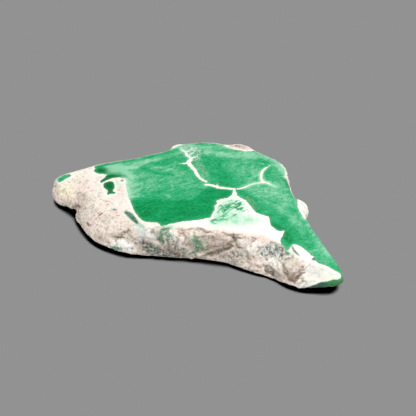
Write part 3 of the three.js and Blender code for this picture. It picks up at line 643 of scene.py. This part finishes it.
TONE_STROKES = [
    ([(-28.3, 17.4), (-25.5, 18.6), (-21.5, 19.3), (-17.4, 20.2),
      (-14.2, 20.9)], [0.8, 1.2, 1.2], 0.6, 0.7),
    ([(-21.5, 15), (-19.3, 16.3), (-15.7, 17)], [0.4, 0.5, 0.4], -0.3, 0.5),
    ([(-18.5, 11.5), (-18.8, 7.3), (-17.8, 4.1)], [0.5, 0.7, 0.5], -0.35, 0.6),
    ([(-19, 18), (-15, 20.4), (-11, 22.4), (-6.9, 24.1), (-4.8, 25.2)], [2, 2.4, 1.6], 0.7, 1),
    ([(-27, 17.2), (-25.1, 17.6), (-22, 17.5), (-18.4, 17)], [0.8, 1.4, 0.6], 0.9, 1.3),
    ([(-26.6, 15.2), (-24.4, 15.8), (-21.6, 15), (-19.8, 12.6)], [1.2, 2, 1.6], 0.55, 1),
    ([(-16.4, 16.8), (-14.5, 16), (-10.8, 14), (-6.7, 13.3)], [0.6, 1.1, 1], -0.55, 0.6),
    ([(-10.5, 3), (-9.4, 3.8), (-7.6, 2.7)], [0.8, 1], 0.6, 0.6),
    ([(-13.7, 18), (-10.9, 17.5), (-6.8, 16.6)], [1.2, 1.4, 0.8], 0.5, 0.7),
    ([(4.6, 25.2), (10.1, 24.3), (14.3, 23.8), (18.4, 23.8), (22.6, 22.9), (25.5, 21), (27.6, 17.8),
      (29, 13.8)], [2, 2.6, 2.2, 1.6, 1], 1.1, 1.4),
    ([(19.4, 12.4), (18.6, 13.8), (18.3, 16), (18.9, 18.3), (20.2, 19.7),
      (22.1, 19.2)], [0.7, 0.9, 0.7], 0.6, 0.5),
    ([(16.4, 13), (15.6, 16), (16.6, 19), (19.6, 21.4)], [0.6, 0.8, 0.6], 0.3, 0.6),
    ([(24.3, -1.8), (28.8, -6.8), (31.5, -11.6), (32.3, -14.8)], [1.6, 2.6, 1.6], 0.5, 1),
    ([(13.7, 5.4), (17.6, 1.1), (18.7, -4.3), (20.4, -6.8), (23, -7.2)], [1.2, 2.2, 2, 1.4], -0.8, 1),
    ([(23.1, -10.8), (25.2, -13.6), (27.6, -16.4), (28.7, -19.1)], [1.8, 2.8, 2.6, 1.4], -1.1, 1),
    ([(34.1, -11.6), (36.7, -17.9), (38.8, -23), (41.2, -29)], [1.6, 2, 1.2], 0.4, 1),
    ([(35.3, -22.7), (37, -22.8)], [0.4, 0.3], 0.8, 0.3),
    ([(-20.7, 0.6), (-19.3, -2), (-18, -5.6), (-16.4, -8.4),
      (-14.4, -10.2)], [0.4, 0.7, 0.7, 0.3], -0.6, 0.3),
    ([(9.4, 30), (11, 28.4), (13, 27.4)], [0.3, 0.5, 0.3], -1, 0.3),
    ([(35, -27.4), (37.4, -29.2), (40.2, -31.6), (42.2, -33.6)], [0.5, 0.8, 0.5], -1, 0.4),
    ([(4, 9.2), (8, 9), (12, 7.4)], [1.4, 1.8, 1], -0.4, 0.8),
]
DEEPEST_GREEN = [
    (-26.5, 7.6, 3.4, 4.8, 1.6), (-22.4, 10.6, 1.2, 1, 1), (-29.4, 15.6, 2, 1.6, 1),
    (-28.6, 10.6, 1.8, 1.4, 1.1), (-25.6, 12.4, 1.8, 0.8, 1.1), (-23.2, 12.2, 1.4, 0.6, 0.9),
]


def dome_height(places):
    """The height of the polished dome over each place."""
    sag_x = (places[:, 0] - CROWN[0]) ** 2 / (2 * DOME_RADIUS[0])
    sag_y = (places[:, 1] - CROWN[1]) ** 2 / (2 * DOME_RADIUS[1])
    return CROWN[2] - sag_x - sag_y


def as_seen(points):
    """Where the line of sight through each point meets the level of the crown."""
    share = (EYE[2] - CROWN[2]) / (EYE[2] - points[:, 2])
    return EYE[:2] + (points[:, :2] - EYE[:2]) * share[:, None]


def evaluated_copy(piece):
    """The piece's mesh with its modifiers applied."""
    bpy.context.view_layer.update()
    seen = piece.evaluated_get(bpy.context.evaluated_depsgraph_get())
    return bpy.data.meshes.new_from_object(seen)


def rounded_stone():
    """The stone's solid with its facets rounded off and an even, fine net."""
    mesh = bpy.data.meshes.new("polished_stone")
    piece = bpy.data.objects.new("polished_stone", mesh)
    bpy.context.scene.collection.objects.link(piece)
    net = bmesh.new()
    net.from_mesh(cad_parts[NODE].data)
    bmesh.ops.remove_doubles(net, verts=net.verts, dist=0.002 * MM)
    net.to_mesh(mesh)
    net.free()
    round_off = piece.modifiers.new("round_off", "SUBSURF")
    round_off.levels = 1
    round_off.render_levels = 1
    even_net = piece.modifiers.new("even_net", "REMESH")
    even_net.mode = "VOXEL"
    even_net.voxel_size = VOXEL * MM
    finished = evaluated_copy(piece)
    piece.modifiers.clear()
    piece.data = finished
    bpy.data.meshes.remove(mesh)
    net = bmesh.new()
    net.from_mesh(finished)
    for _ in range(SMOOTH_ROUNDS):
        bmesh.ops.smooth_vert(
            net, verts=net.verts, factor=0.5, use_axis_x=True, use_axis_y=True, use_axis_z=True)
    net.to_mesh(finished)
    net.free()
    return piece


def vertex_array(mesh, normals=False):
    """The mesh's vertices, or their normals, one row each."""
    values = np.zeros(len(mesh.vertices) * 3)
    if normals:
        mesh.vertex_normals.foreach_get("vector", values)
    else:
        mesh.vertices.foreach_get("co", values)
    return values.reshape(-1, 3)


def settled_on_foot(points):
    """Moves the lowest part of the front flank in or out, so that its edge lies along the drawn foot."""
    foot = np.array(FOOT)
    seen = as_seen(points)
    columns = np.arange(foot[0, 0], foot[-1, 0], FOOT_COLUMN)
    place = np.clip(((seen[:, 0] - columns[0]) / FOOT_COLUMN).round().astype(int), 0, len(columns) - 1)
    edge = np.full(len(columns), 100.0)
    np.minimum.at(edge, place, seen[:, 1])
    shift = np.clip(np.interp(columns, foot[:, 0], foot[:, 1]) - edge, *FOOT_SHIFT)
    shift = np.convolve(np.pad(shift, 2, mode="edge"), np.ones(5) / 5, "valid")
    ends = smoothstep(0, FOOT_ENDS, columns - columns[0]) * smoothstep(0, FOOT_ENDS, columns[-1] - columns)
    above_edge = seen[:, 1] - np.interp(seen[:, 0], columns, edge)
    share = smoothstep(*FOOT_BAND_SEEN, above_edge) * smoothstep(*FOOT_BAND_HEIGHT, points[:, 2])
    moved = points.copy()
    moved[:, 1] += share * np.interp(seen[:, 0], columns, shift * ends, left=0, right=0)
    return moved


def shape_stone(piece):
    """Lays the polished face on its dome, gives the rind its crags, and returns what the colours need."""
    mesh = piece.data
    points = vertex_array(mesh) / MM + DRAWN_MIDDLE
    normals = vertex_array(mesh, normals=True)
    seen = as_seen(points)
    eye_direction = EYE - points
    eye_direction /= np.linalg.norm(eye_direction, axis=1)[:, None]
    facing = smoothstep(0.0, 0.35, (normals * eye_direction).sum(1))
    below = dome_height(points) - points[:, 2]
    wander = fractal(points, 2.2, 3, seed=3.0)
    level = smoothstep(POLISH_ENDS, POLISH_FULL, below + 0.1 * wander) * smoothstep(-0.5, -0.2, below)
    front_edge = inside_outline(seen, POLISHED_FACE) + 0.5 * wander
    polished = level * smoothstep(-0.9, 0.5, front_edge)
    base = smoothstep(0.12, 0.02, points[:, 2])
    rind = (1 - polished) * (1 - base)
    front = rind * facing * (1 - level * smoothstep(0.25, 1.0, front_edge))

    green = inside_outline(seen, GREEN_BODY)
    for outline in GREEN_ISLANDS.values():
        green = np.maximum(green, inside_outline(seen, outline))
    vein = np.full(len(points), -FAR)
    for line, widths in VEINS:
        vein = np.maximum(vein, inside_stroke(seen, line, widths))

    # The polished face: soft matrix and veins lie a little below the hard green, and are worn by their grain
    target = dome_height(points)
    soft = smoothstep(0.2, -0.25, np.minimum(green, -vein))
    left = smoothstep(*WORN_LEFT, seen[:, 0])
    grain = fractal(points, 0.85, 3, seed=6.0)
    worn = 0.06 + 0.05 * np.abs(grain) + left * (0.10 * np.abs(wander) + 0.10 * np.abs(grain))
    lift = (target - soft * worn - points[:, 2]) * polished

    # The rind: crags and creases, deeper along the front
    calm = 0.4 + 0.6 * smoothstep(*CALM_LEFT, points[:, 0])
    calm *= 1 - 0.75 * smoothstep(*CALM_RIGHT, points[:, 0])
    strength = rind * calm * (0.5 + 0.5 * facing)
    bent = points + 0.9 * wander[:, None] * np.array([1.0, 0.6, -0.8])
    crags = CRAG_HEIGHT * (ridges(bent, CRAG_SIZE, 4, seed=1.0) - 0.55)
    lumps = LUMP_HEIGHT * (billows(bent, LUMP_SIZE, 3, seed=2.0) - 0.45)
    fine = FINE_HEIGHT * (billows(bent, FINE_SIZE, 2, seed=5.0) - 0.4)
    relief = strength * (crags + lumps + fine) + rind * 0.08 * grain
    for line, width, depth, _ in GROOVES:
        distance = np.maximum(0, -inside_stroke(seen, line, [0.02, 0.02]))
        relief -= front * depth * np.exp(-((distance / (0.6 * width)) ** 2))
    for outline, height in SWELLINGS:
        relief += front * height * smoothstep(-0.4, 1.4, inside_outline(seen, outline))
    relief = np.where(relief > 0, relief * smoothstep(0.0, 2.2, points[:, 2]), relief)
    relief += KNOB_BULGE * np.exp(-((points - np.array(KNOB_MIDDLE)) ** 2).sum(1) / KNOB_REACH ** 2) * rind
    # The rind's hollows: brown dirt and painted shade darken its colour there.
    hollow = -(0.7 * crags + lumps + 0.9 * fine + 0.05 * grain)
    cavity = smoothstep(-0.02, 0.30, hollow) * np.clip(strength * 1.3, 0, 1)

    points = points + normals * relief[:, None]
    for middle, reach, way in NUDGES:
        share = np.exp(-((points - np.array(middle)) ** 2).sum(1) / reach ** 2)
        points[:, :2] += np.array(way) * share[:, None]
    points = settled_on_foot(points)
    points[:, 2] += lift
    proud = np.maximum(points[:, 2] - CROWN[2], 0)
    points[:, 2] -= proud - HIGHEST_CRAG * np.tanh(proud / HIGHEST_CRAG)
    points[:, 2] = np.maximum(points[:, 2], 0)
    points[base > 0.5, 2] = 0
    mesh.vertices.foreach_set("co", ((points - DRAWN_MIDDLE) * MM).ravel())
    mesh.update()
    return {
        "points": points, "facing": facing, "polished": polished, "base": base, "rind": rind, "green": green,
        "vein": vein, "cavity": cavity, "wander": wander, "below": below, "strength": strength,
    }


def paint_stone(piece, found):
    """Writes what the stone's finish reads: one number for each vertex under each name."""
    seen = as_seen(found["points"])
    facing = found["facing"]
    polished = found["polished"]
    points = found["points"]
    wander = found["wander"]

    def patched(patches, soft, ragged):
        """How strongly each place lies in one of the patches, whose edges are soft and ragged."""
        total = np.zeros(len(seen))
        for outline, strength in patches:
            depth = inside_outline(seen, outline) + ragged * wander
            total = np.maximum(total, strength * smoothstep(-soft, soft, depth))
        return total

    def mark_strength(name):
        """How strongly each place has the named mark. Most marks are stains; the crease marks and some brown
        and grey ones are painted shade.
        """
        total = np.zeros(len(seen))
        if name in STAIN_AND_SHADE_PATCHES:
            total = patched(STAIN_AND_SHADE_PATCHES[name], *STAIN_AND_SHADE_EDGES[name])
        for line, widths, strength in STAIN_AND_SHADE_STROKES.get(name, []):
            depth = inside_stroke(seen, line, widths) + STROKE_RAGGED * wander
            total = np.maximum(total, strength * smoothstep(-STROKE_SOFT, STROKE_SOFT, depth))
        return total

    tone = blobs(seen, TONE_MARKS)
    for outline, strength, soft in TONE_FIELDS:
        tone += strength * smoothstep(-soft, soft, inside_outline(seen, outline) + 0.5 * wander)
    for line, widths, strength, soft in TONE_STROKES:
        tone += strength * smoothstep(-soft, 0.5 * soft, inside_stroke(seen, line, widths) + 0.15 * wander)

    # The sawn base shows the bands of the face above it. The hidden flanks are crust with some green in it.
    above = points.copy()
    above[:, 2] = dome_height(points)
    through = inside_outline(as_seen(above), GREEN_BODY) + 1.2 * fractal(points, 6.0, 2, seed=9.0) - 2.0
    crust = 0.5 * fractal(points, 5.0, 3, seed=8.0) - 0.45
    hidden = found["rind"] * (1 - facing) > 0.5
    tip = (seen[:, 0] > GREEN_TIP[0]) & (seen[:, 1] < GREEN_TIP[1])
    green = np.where((polished > 0.3) | tip, np.minimum(found["green"], -found["vein"]), -FAR)
    green = np.where(found["base"] > 0.5, through, green)
    green = np.where(hidden, crust, green)
    back = np.array(BACK_EDGE)
    behind = smoothstep(-1.2, 0.6, seen[:, 1] - np.interp(seen[:, 0], back[:, 0], back[:, 1]))
    # Painted highlight: a pale line along the rolled back rim of the polished face, just behind its back
    # edge.
    rim_highlight = smoothstep(0.16, 0.40, found["below"] + 0.08 * wander) * behind * (polished > 0.01)
    rough_grain = np.maximum(0.55 * found["strength"], 0.25 * (1 - polished))
    fields = {
        "green": np.clip(green, -FAR, FAR),
        "polish": polished,
        "cavity": found["cavity"],
        "rim": rim_highlight,
        "crackle": patched(CRACKLE_PATCHES, *LACE_EDGE) * polished,
        "tone": np.clip(tone, -2.0, 2.0),
        "deepest": np.clip(blobs(seen, DEEPEST_GREEN), 0, 1),
        "wash": np.clip(blobs(seen, MINT_WASH), 0, 1) * facing,
        "waves": np.clip(blobs(seen, WAVY_GREEN), 0, 1) * polished,
        "sawn": found["base"],
    }
    for name in {**STAIN_AND_SHADE_PATCHES, **STAIN_AND_SHADE_STROKES}:
        fields[name] = mark_strength(name) * facing
    fields["dust"] = np.maximum(fields["dust"], rough_grain) * (1 - 0.8 * fields["snow"])
    for name, values in fields.items():
        attribute = piece.data.attributes.new(name, "FLOAT", "POINT")
        attribute.data.foreach_set("value", values.astype(np.float32))


def linear(red, green, blue):
    """A colour given as it looks on a screen, 0 to 255."""
    def one(value):
        share = value / 255
        return share / 12.92 if share <= 0.04045 else ((share + 0.055) / 1.055) ** 2.4
    return (one(red), one(green), one(blue), 1.0)


class Nodes:
    """Short ways of adding and joining the nodes of one tree."""

    def __init__(self, tree):
        self.tree = tree

    def add(self, kind, inputs=None, **settings):
        node = self.tree.nodes.new(kind)
        for key, value in settings.items():
            setattr(node, key, value)
        for key, value in (inputs or {}).items():
            self.put(value, node.inputs[key])
        return node

    def put(self, value, socket):
        if isinstance(value, bpy.types.NodeSocket):
            self.tree.links.new(value, socket)
        else:
            socket.default_value = value

    def math(self, operation, a, b=0.0, clamp=False):
        return self.add("ShaderNodeMath", {0: a, 1: b}, operation=operation, use_clamp=clamp).outputs[0]

    def times(self, a, b):
        return self.math("MULTIPLY", a, b)

    def plus(self, a, b, clamp=False):
        return self.math("ADD", a, b, clamp)

    def swing(self, noise_value, reach):
        """Noise around a half, turned into a number around 0 and multiplied by the reach."""
        return self.times(self.math("SUBTRACT", noise_value, 0.5), reach)

    def ramp(self, value, low, high, to_low=0.0, to_high=1.0):
        """The value's run from low to high, as a smooth step from to_low to to_high."""
        inputs = {"Value": value, "From Min": low, "From Max": high, "To Min": to_low, "To Max": to_high}
        return self.add("ShaderNodeMapRange", inputs, interpolation_type="SMOOTHSTEP").outputs[0]

    def mix(self, share, first, second):
        """The first colour at share 0 and the second at 1. A colour is a socket or a name in COLOURS."""
        node = self.add("ShaderNodeMix", data_type="RGBA")
        self.put(share, node.inputs[0])
        for colour, socket in ((first, node.inputs[6]), (second, node.inputs[7])):
            self.put(linear(*COLOURS[colour]) if isinstance(colour, str) else colour, socket)
        return node.outputs[2]

    def noise(self, place, size, detail=3.0, roughness=0.55, distortion=0.0):
        """Noise with features of about a size in mm, about 0.25 to 0.75."""
        inputs = {
            "Vector": place, "Scale": 1 / (size * MM), "Detail": detail, "Roughness": roughness,
            "Distortion": distortion,
        }
        return self.add("ShaderNodeTexNoise", inputs).outputs[0]

    def stretched(self, place, turn, longer):
        """The place, changed so that noise in it is drawn out along one turned direction."""
        inputs = {"Vector": place, "Rotation": (0, 0, turn), "Scale": (longer, 1.0, 1.0)}
        return self.add("ShaderNodeMapping", inputs, vector_type="TEXTURE").outputs[0]

    def attribute(self, name):
        return self.add("ShaderNodeAttribute", attribute_name=name).outputs["Fac"]

    def position(self):
        return self.add("ShaderNodeTexCoord").outputs["Object"]


def colour_group(name, numbers):
    """An empty node group that makes a colour of a place and the named numbers, and its way in and out."""
    tree = bpy.data.node_groups.new(name, "ShaderNodeTree")
    tree.interface.new_socket(name="place", in_out="INPUT", socket_type="NodeSocketVector")
    for label in numbers:
        tree.interface.new_socket(name=label, in_out="INPUT", socket_type="NodeSocketFloat")
    tree.interface.new_socket(name="colour", in_out="OUTPUT", socket_type="NodeSocketColor")
    nodes = Nodes(tree)
    return tree, nodes, nodes.add("NodeGroupInput").outputs, nodes.add("NodeGroupOutput").inputs


def green_colour_group():
    """Variscite: deep emerald with cloudy pale veils, drawn out in soft streaks."""
    tree, n, way_in, way_out = colour_group("variscite_colour", GREEN_NUMBERS)
    place = way_in["place"]
    clouds = n.noise(place, 8.0, 3.0, 0.55, 0.6)
    streaks = n.noise(n.stretched(place, 0.35, 2.0), 3.0, 6.0, 0.66, 1.8)
    wisps = n.noise(place, 0.6, 5.0, 0.72, 0.6)
    amount = way_in["tone"]
    for veil, reach in ((clouds, 1.6), (streaks, 3.1), (wisps, 3.4)):
        amount = n.plus(amount, n.swing(veil, reach))
    # A pale tone turns the green towards pale veil; along the back edge that paleness is partly painted
    # sheen.
    colour = n.mix(n.ramp(amount, -0.9, 0.35), "emerald", "middle_green")
    colour = n.mix(n.ramp(amount, 0.0, 1.9), colour, "pale_veil_and_sheen")
    colour = n.mix(n.ramp(amount, -0.8, -1.7), colour, "dark_green")
    flecks = n.ramp(n.noise(place, 0.5, 2.0, 0.5), 0.64, 0.74)
    colour = n.mix(n.times(flecks, 0.45), colour, "pale_fleck")
    deepest = n.mix(n.ramp(wisps, 0.35, 0.65), "darkest_green", "deep_green")
    n.put(n.mix(way_in["deepest"], colour, deepest), way_out["colour"])
    return tree


def matrix_colour_group():
    """Matrix and rind: cream to pinkish white, brown dirt and painted shade in the creases, and fine grey
    and brown grains.
    """
    tree, n, way_in, way_out = colour_group("matrix_colour", MATRIX_NUMBERS)
    place = way_in["place"]
    colour = n.mix(n.ramp(n.noise(place, 5.5, 3.0), 0.35, 0.65), "pinkish_white", "cream")
    patchy = n.ramp(n.noise(place, 2.2, 4.0, 0.6), 0.48, 0.70)
    colour = n.mix(n.times(patchy, 0.45), colour, "dusky_cream")
    colour = n.mix(n.times(way_in["yellow"], 0.7), colour, "butter")
    clumps = n.ramp(n.noise(place, 3.0, 3.0), 0.36, 0.60, 0.15, 1.0)
    dust = n.times(clumps, way_in["dust"])
    olive = n.times(n.ramp(n.noise(place, 1.3, 3.0, 0.6), 0.48, 0.66), dust)
    colour = n.mix(n.times(olive, 0.55), colour, "olive_dust")
    grains = n.ramp(n.noise(place, 0.75, 5.0, 0.72), 0.49, 0.63)
    grains = n.times(grains, n.plus(n.times(dust, 0.75), 0.19))
    colour = n.mix(grains, colour, "brown_grain")
    colour = n.mix(n.times(way_in["snow"], 0.9), colour, "snow_white")
    # Painted shade and brown dirt darken the colour in the rind's hollows.
    crease_darkening = n.times(way_in["cavity"], n.ramp(n.noise(place, 0.9, 3.0, 0.6), 0.35, 0.6, 0.55, 1.0))
    dirt_and_shade_colour = n.mix(n.ramp(n.noise(place, 4.0, 2.0), 0.4, 0.6), "brown_dirt_and_shade", "grey_dirt_and_shade")
    n.put(n.mix(crease_darkening, colour, dirt_and_shade_colour), way_out["colour"])
    return tree


def stone_material():
    """The stone's finish: the matrix with its stains and painted shade, the green over it, a painted
    highlight along the back rim, and the gloss and pits of each.
    """
    material = bpy.data.materials.new("variscite_in_matrix")
    material.use_nodes = True
    material.node_tree.nodes.clear()
    n = Nodes(material.node_tree)
    place = n.position()
    polish = n.attribute("polish")

    def ground(tree, numbers):
        """The colour that a node group makes of the place and the named attributes."""
        node = n.add("ShaderNodeGroup", node_tree=tree)
        n.put(place, node.inputs["place"])
        for name in numbers:
            n.put(n.attribute(name), node.inputs[name])
        return node.outputs["colour"]

    def laid_over(under, name, mottle, run, stain_colour):
        """The colour under a mark with the mark over it, which follows the run of the mottle. Marks are
        stains, washes, painted shade and a painted highlight.
        """
        return n.mix(n.times(n.attribute(name), n.ramp(mottle, *run)), under, stain_colour)

    green_colour = ground(green_colour_group(), GREEN_NUMBERS)
    colour = ground(matrix_colour_group(), MATRIX_NUMBERS)
    speckle = n.noise(place, 0.6, 6.0, 0.75, 0.5)
    blotch = n.noise(place, 1.8, 3.0, 0.6)

    # Washes, wavy rows and stains on the matrix, with painted shade in some of the brown and grey marks
    colour = laid_over(colour, "wash", blotch, (0.32, 0.62, 0.45, 1.0), "mint")
    rows = n.noise(n.stretched(place, 0.7, 2.4), 1.4, 4.0, 0.6, 1.0)
    waves = n.times(n.ramp(rows, 0.43, 0.54), n.ramp(n.attribute("waves"), 0.12, 0.75))
    colour = n.mix(waves, colour, n.mix(n.ramp(rows, 0.52, 0.61), "pale_wave", "dark_wave"))
    colour = laid_over(colour, "chalk", blotch, (0.3, 0.6, 0.45, 0.95), "chalk")
    brown = n.mix(n.ramp(blotch, 0.4, 0.6), "brown_stain_and_shade", "dull_brown_stain_and_shade")
    colour = laid_over(colour, "brown", speckle, (0.38, 0.60, 0.6, 1.08), brown)
    colour = laid_over(colour, "grey", speckle, (0.42, 0.575, 0.14, 1.2), "grey_stain_and_shade")
    leaf = n.plus(n.attribute("leaf"), n.swing(speckle, 2.4))
    leaf = n.times(n.ramp(leaf, 0.15, 1.15, 0.0, 0.92), n.ramp(n.attribute("leaf"), 0.0, 0.3))
    depth = n.plus(n.attribute("leaf"), n.swing(blotch, 1.6))
    colour = n.mix(leaf, colour, n.mix(n.ramp(depth, 0.35, 1.0), "pale_leaf", "dark_leaf"))
    colour = laid_over(colour, "light", speckle, (0.36, 0.56, 1.0, 0.5), "light_line")

    # Where matrix turns to green: a crisp wavy line, with lace in some places and a white margin beside it
    green_edge = n.plus(n.attribute("green"), n.swing(n.noise(place, 0.8, 4.0, 0.65), 0.9))
    rows = n.math("ABSOLUTE", n.math("SUBTRACT", n.noise(place, 1.2, 3.0, 0.6, 1.2), 0.5))
    lace = n.times(n.ramp(rows, 0.09, 0.02), n.attribute("crackle"))
    lace = n.times(lace, n.ramp(speckle, 0.38, 0.56, 0.2, 1.0))
    green_share = n.times(n.ramp(green_edge, -0.08, 0.12), n.math("SUBTRACT", 1.0, lace))
    margin = n.ramp(n.attribute("green"), -1.8, -0.1)
    margin = n.times(margin, n.ramp(n.attribute("tone"), 1.2, 0.2, 0.3, 1.0))
    colour = n.mix(n.times(margin, 0.6), colour, "white_margin")
    colour = n.mix(n.times(n.attribute("faded"), 0.8), colour, "faded_green")
    stroke = n.mix(n.ramp(blotch, 0.35, 0.62), "dark_stroke", "pale_stroke")
    colour = laid_over(colour, "stroke", speckle, (0.36, 0.60, 1.1, 0.8), stroke)
    colour = n.mix(n.attribute("crackle"), colour, "lace")

    # The green, dull where it isn't polished and pale along its edge where its tone is pale
    dull = n.times(n.math("SUBTRACT", 1.0, polish), 0.6)
    dull_green = n.mix(n.ramp(speckle, 0.4, 0.6), "pale_dull_green", "dark_dull_green")
    colour = n.mix(green_share, colour, n.mix(dull, green_colour, dull_green))
    halo = n.times(n.ramp(green_edge, 1.1, 0.1), n.ramp(green_edge, -0.05, 0.1))
    halo = n.times(halo, n.ramp(n.attribute("tone"), 0.1, 0.7, 0.12, 0.75))
    colour = n.mix(halo, colour, "pale_edge")
    # Painted highlight along the back rim of the polished face.
    colour = laid_over(colour, "rim", speckle, (0.3, 0.6, 0.5, 0.95), "rim_highlight")
    # Painted shade: dark lines in the creases and along the tip's green band.
    colour = laid_over(colour, "crease_shade", speckle, (0.3, 0.5, 0.7, 1.0), "dark_crease")
    colour = n.mix(n.times(n.attribute("sawn"), 0.35), colour, "sawn_grey")

    # Gloss on the polished green, less on the polished matrix, and pits in what is matte
    glossy = n.times(polish, n.ramp(green_share, 0.0, 1.0, 0.35, 1.0))
    matte = n.math("SUBTRACT", 1.0, glossy)
    roughness = n.plus(n.ramp(matte, 0.0, 1.0, 0.28, 0.85), n.swing(speckle, 0.1), clamp=True)
    pits = n.noise(place, 0.38, 4.0, 0.62)
    pit_depth = n.times(pits, n.ramp(matte, 0.0, 1.0, 0.01, 1.0))
    bump = n.add("ShaderNodeBump", {"Strength": 0.9, "Distance": 0.35 * MM, "Height": pit_depth})
    finish = n.add("ShaderNodeBsdfPrincipled", {
        "Base Color": colour, "Roughness": roughness, "Normal": bump.outputs[0], "IOR": 1.5,
        "Specular IOR Level": 0.15,
    })
    surface = n.add("ShaderNodeOutputMaterial")
    n.put(finish.outputs[0], surface.inputs["Surface"])
    return material


def floor_material():
    """Evenly lit grey paper, black in the narrow shadow along the stone's front edge."""
    material = bpy.data.materials.new("studio_floor")
    material.use_nodes = True
    n = Nodes(material.node_tree)
    finish = material.node_tree.nodes["Principled BSDF"]
    gap = n.add("ShaderNodeAmbientOcclusion", {"Distance": 8 * MM, "Normal": (0.0, 0.6, 0.8)}, samples=32)
    shadow = n.ramp(gap.outputs["AO"], SHADOW_EDGE[1], SHADOW_EDGE[0])
    n.put(n.mix(shadow, "floor_grey", "black"), finish.inputs["Emission Color"])
    n.put(1.0, finish.inputs["Emission Strength"])
    n.put((0, 0, 0, 1), finish.inputs["Base Color"])
    n.put(0.0, finish.inputs["Specular IOR Level"])
    n.put(1.0, finish.inputs["Roughness"])
    return material


def studio_floor():
    net = bmesh.new()
    bmesh.ops.create_grid(net, x_segments=2, y_segments=2, size=FLOOR_REACH)
    mesh = bpy.data.meshes.new("studio_floor")
    net.to_mesh(mesh)
    net.free()
    mesh.materials.append(floor_material())
    floor = bpy.data.objects.new("studio_floor", mesh)
    bpy.context.scene.collection.objects.link(floor)


def area_light(name, place, size, power):
    """A rectangular light that looks at the middle of the stone."""
    data = bpy.data.lights.new(name, "AREA")
    data.shape = "RECTANGLE"
    data.size, data.size_y = size
    data.energy = power
    light = bpy.data.objects.new(name, data)
    light.location = place
    light.rotation_euler = (-Vector(place)).to_track_quat("-Z", "Y").to_euler()
    bpy.context.scene.collection.objects.link(light)


def studio_lights():
    for name, (place, size, power) in LIGHTS.items():
        area_light(name, place, size, power)
    world = bpy.data.worlds.new("studio")
    world.use_nodes = True
    world.node_tree.nodes["Background"].inputs["Color"].default_value = (1, 1, 1, 1)
    world.node_tree.nodes["Background"].inputs["Strength"].default_value = WORLD_STRENGTH
    bpy.context.scene.world = world


def studio_camera():
    """The camera stands where the photo was taken, turned so that the stone falls on the same pixels."""
    data = bpy.data.cameras.new("camera")
    data.lens = LENS
    data.sensor_width = SENSOR
    data.clip_start = 0.01
    camera = bpy.data.objects.new("camera", data)
    bpy.context.scene.collection.objects.link(camera)
    right = Vector((1, 0, 0))
    up = Vector((0, math.sin(ELEVATION), math.cos(ELEVATION)))
    back = Vector((0, -math.cos(ELEVATION), math.sin(ELEVATION)))
    level = Matrix((right, up, back)).transposed()
    pixels_per_unit = PHOTO_WIDTH * LENS / SENSOR
    aside = (PHOTO_WIDTH / 2 - ORIGIN_IN_PHOTO[0]) / pixels_per_unit
    upward = (ORIGIN_IN_PHOTO[1] - PHOTO_WIDTH / 2) / pixels_per_unit
    aim = (right * aside + up * upward - back).normalized()
    turn = (-back).rotation_difference(aim).to_matrix()
    place = Vector((EYE - DRAWN_MIDDLE) * MM)
    camera.matrix_world = Matrix.Translation(place) @ (turn @ level).to_4x4()
    scene = bpy.context.scene
    scene.camera = camera
    scene.view_settings.view_transform = "Standard"


studio_camera()
studio_lights()
studio_floor()

stone = rounded_stone()
paint_stone(stone, shape_stone(stone))
stone.data.materials.clear()
stone.data.materials.append(stone_material())
stone.data.shade_smooth()
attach(stone, "root")
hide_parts(NODE)
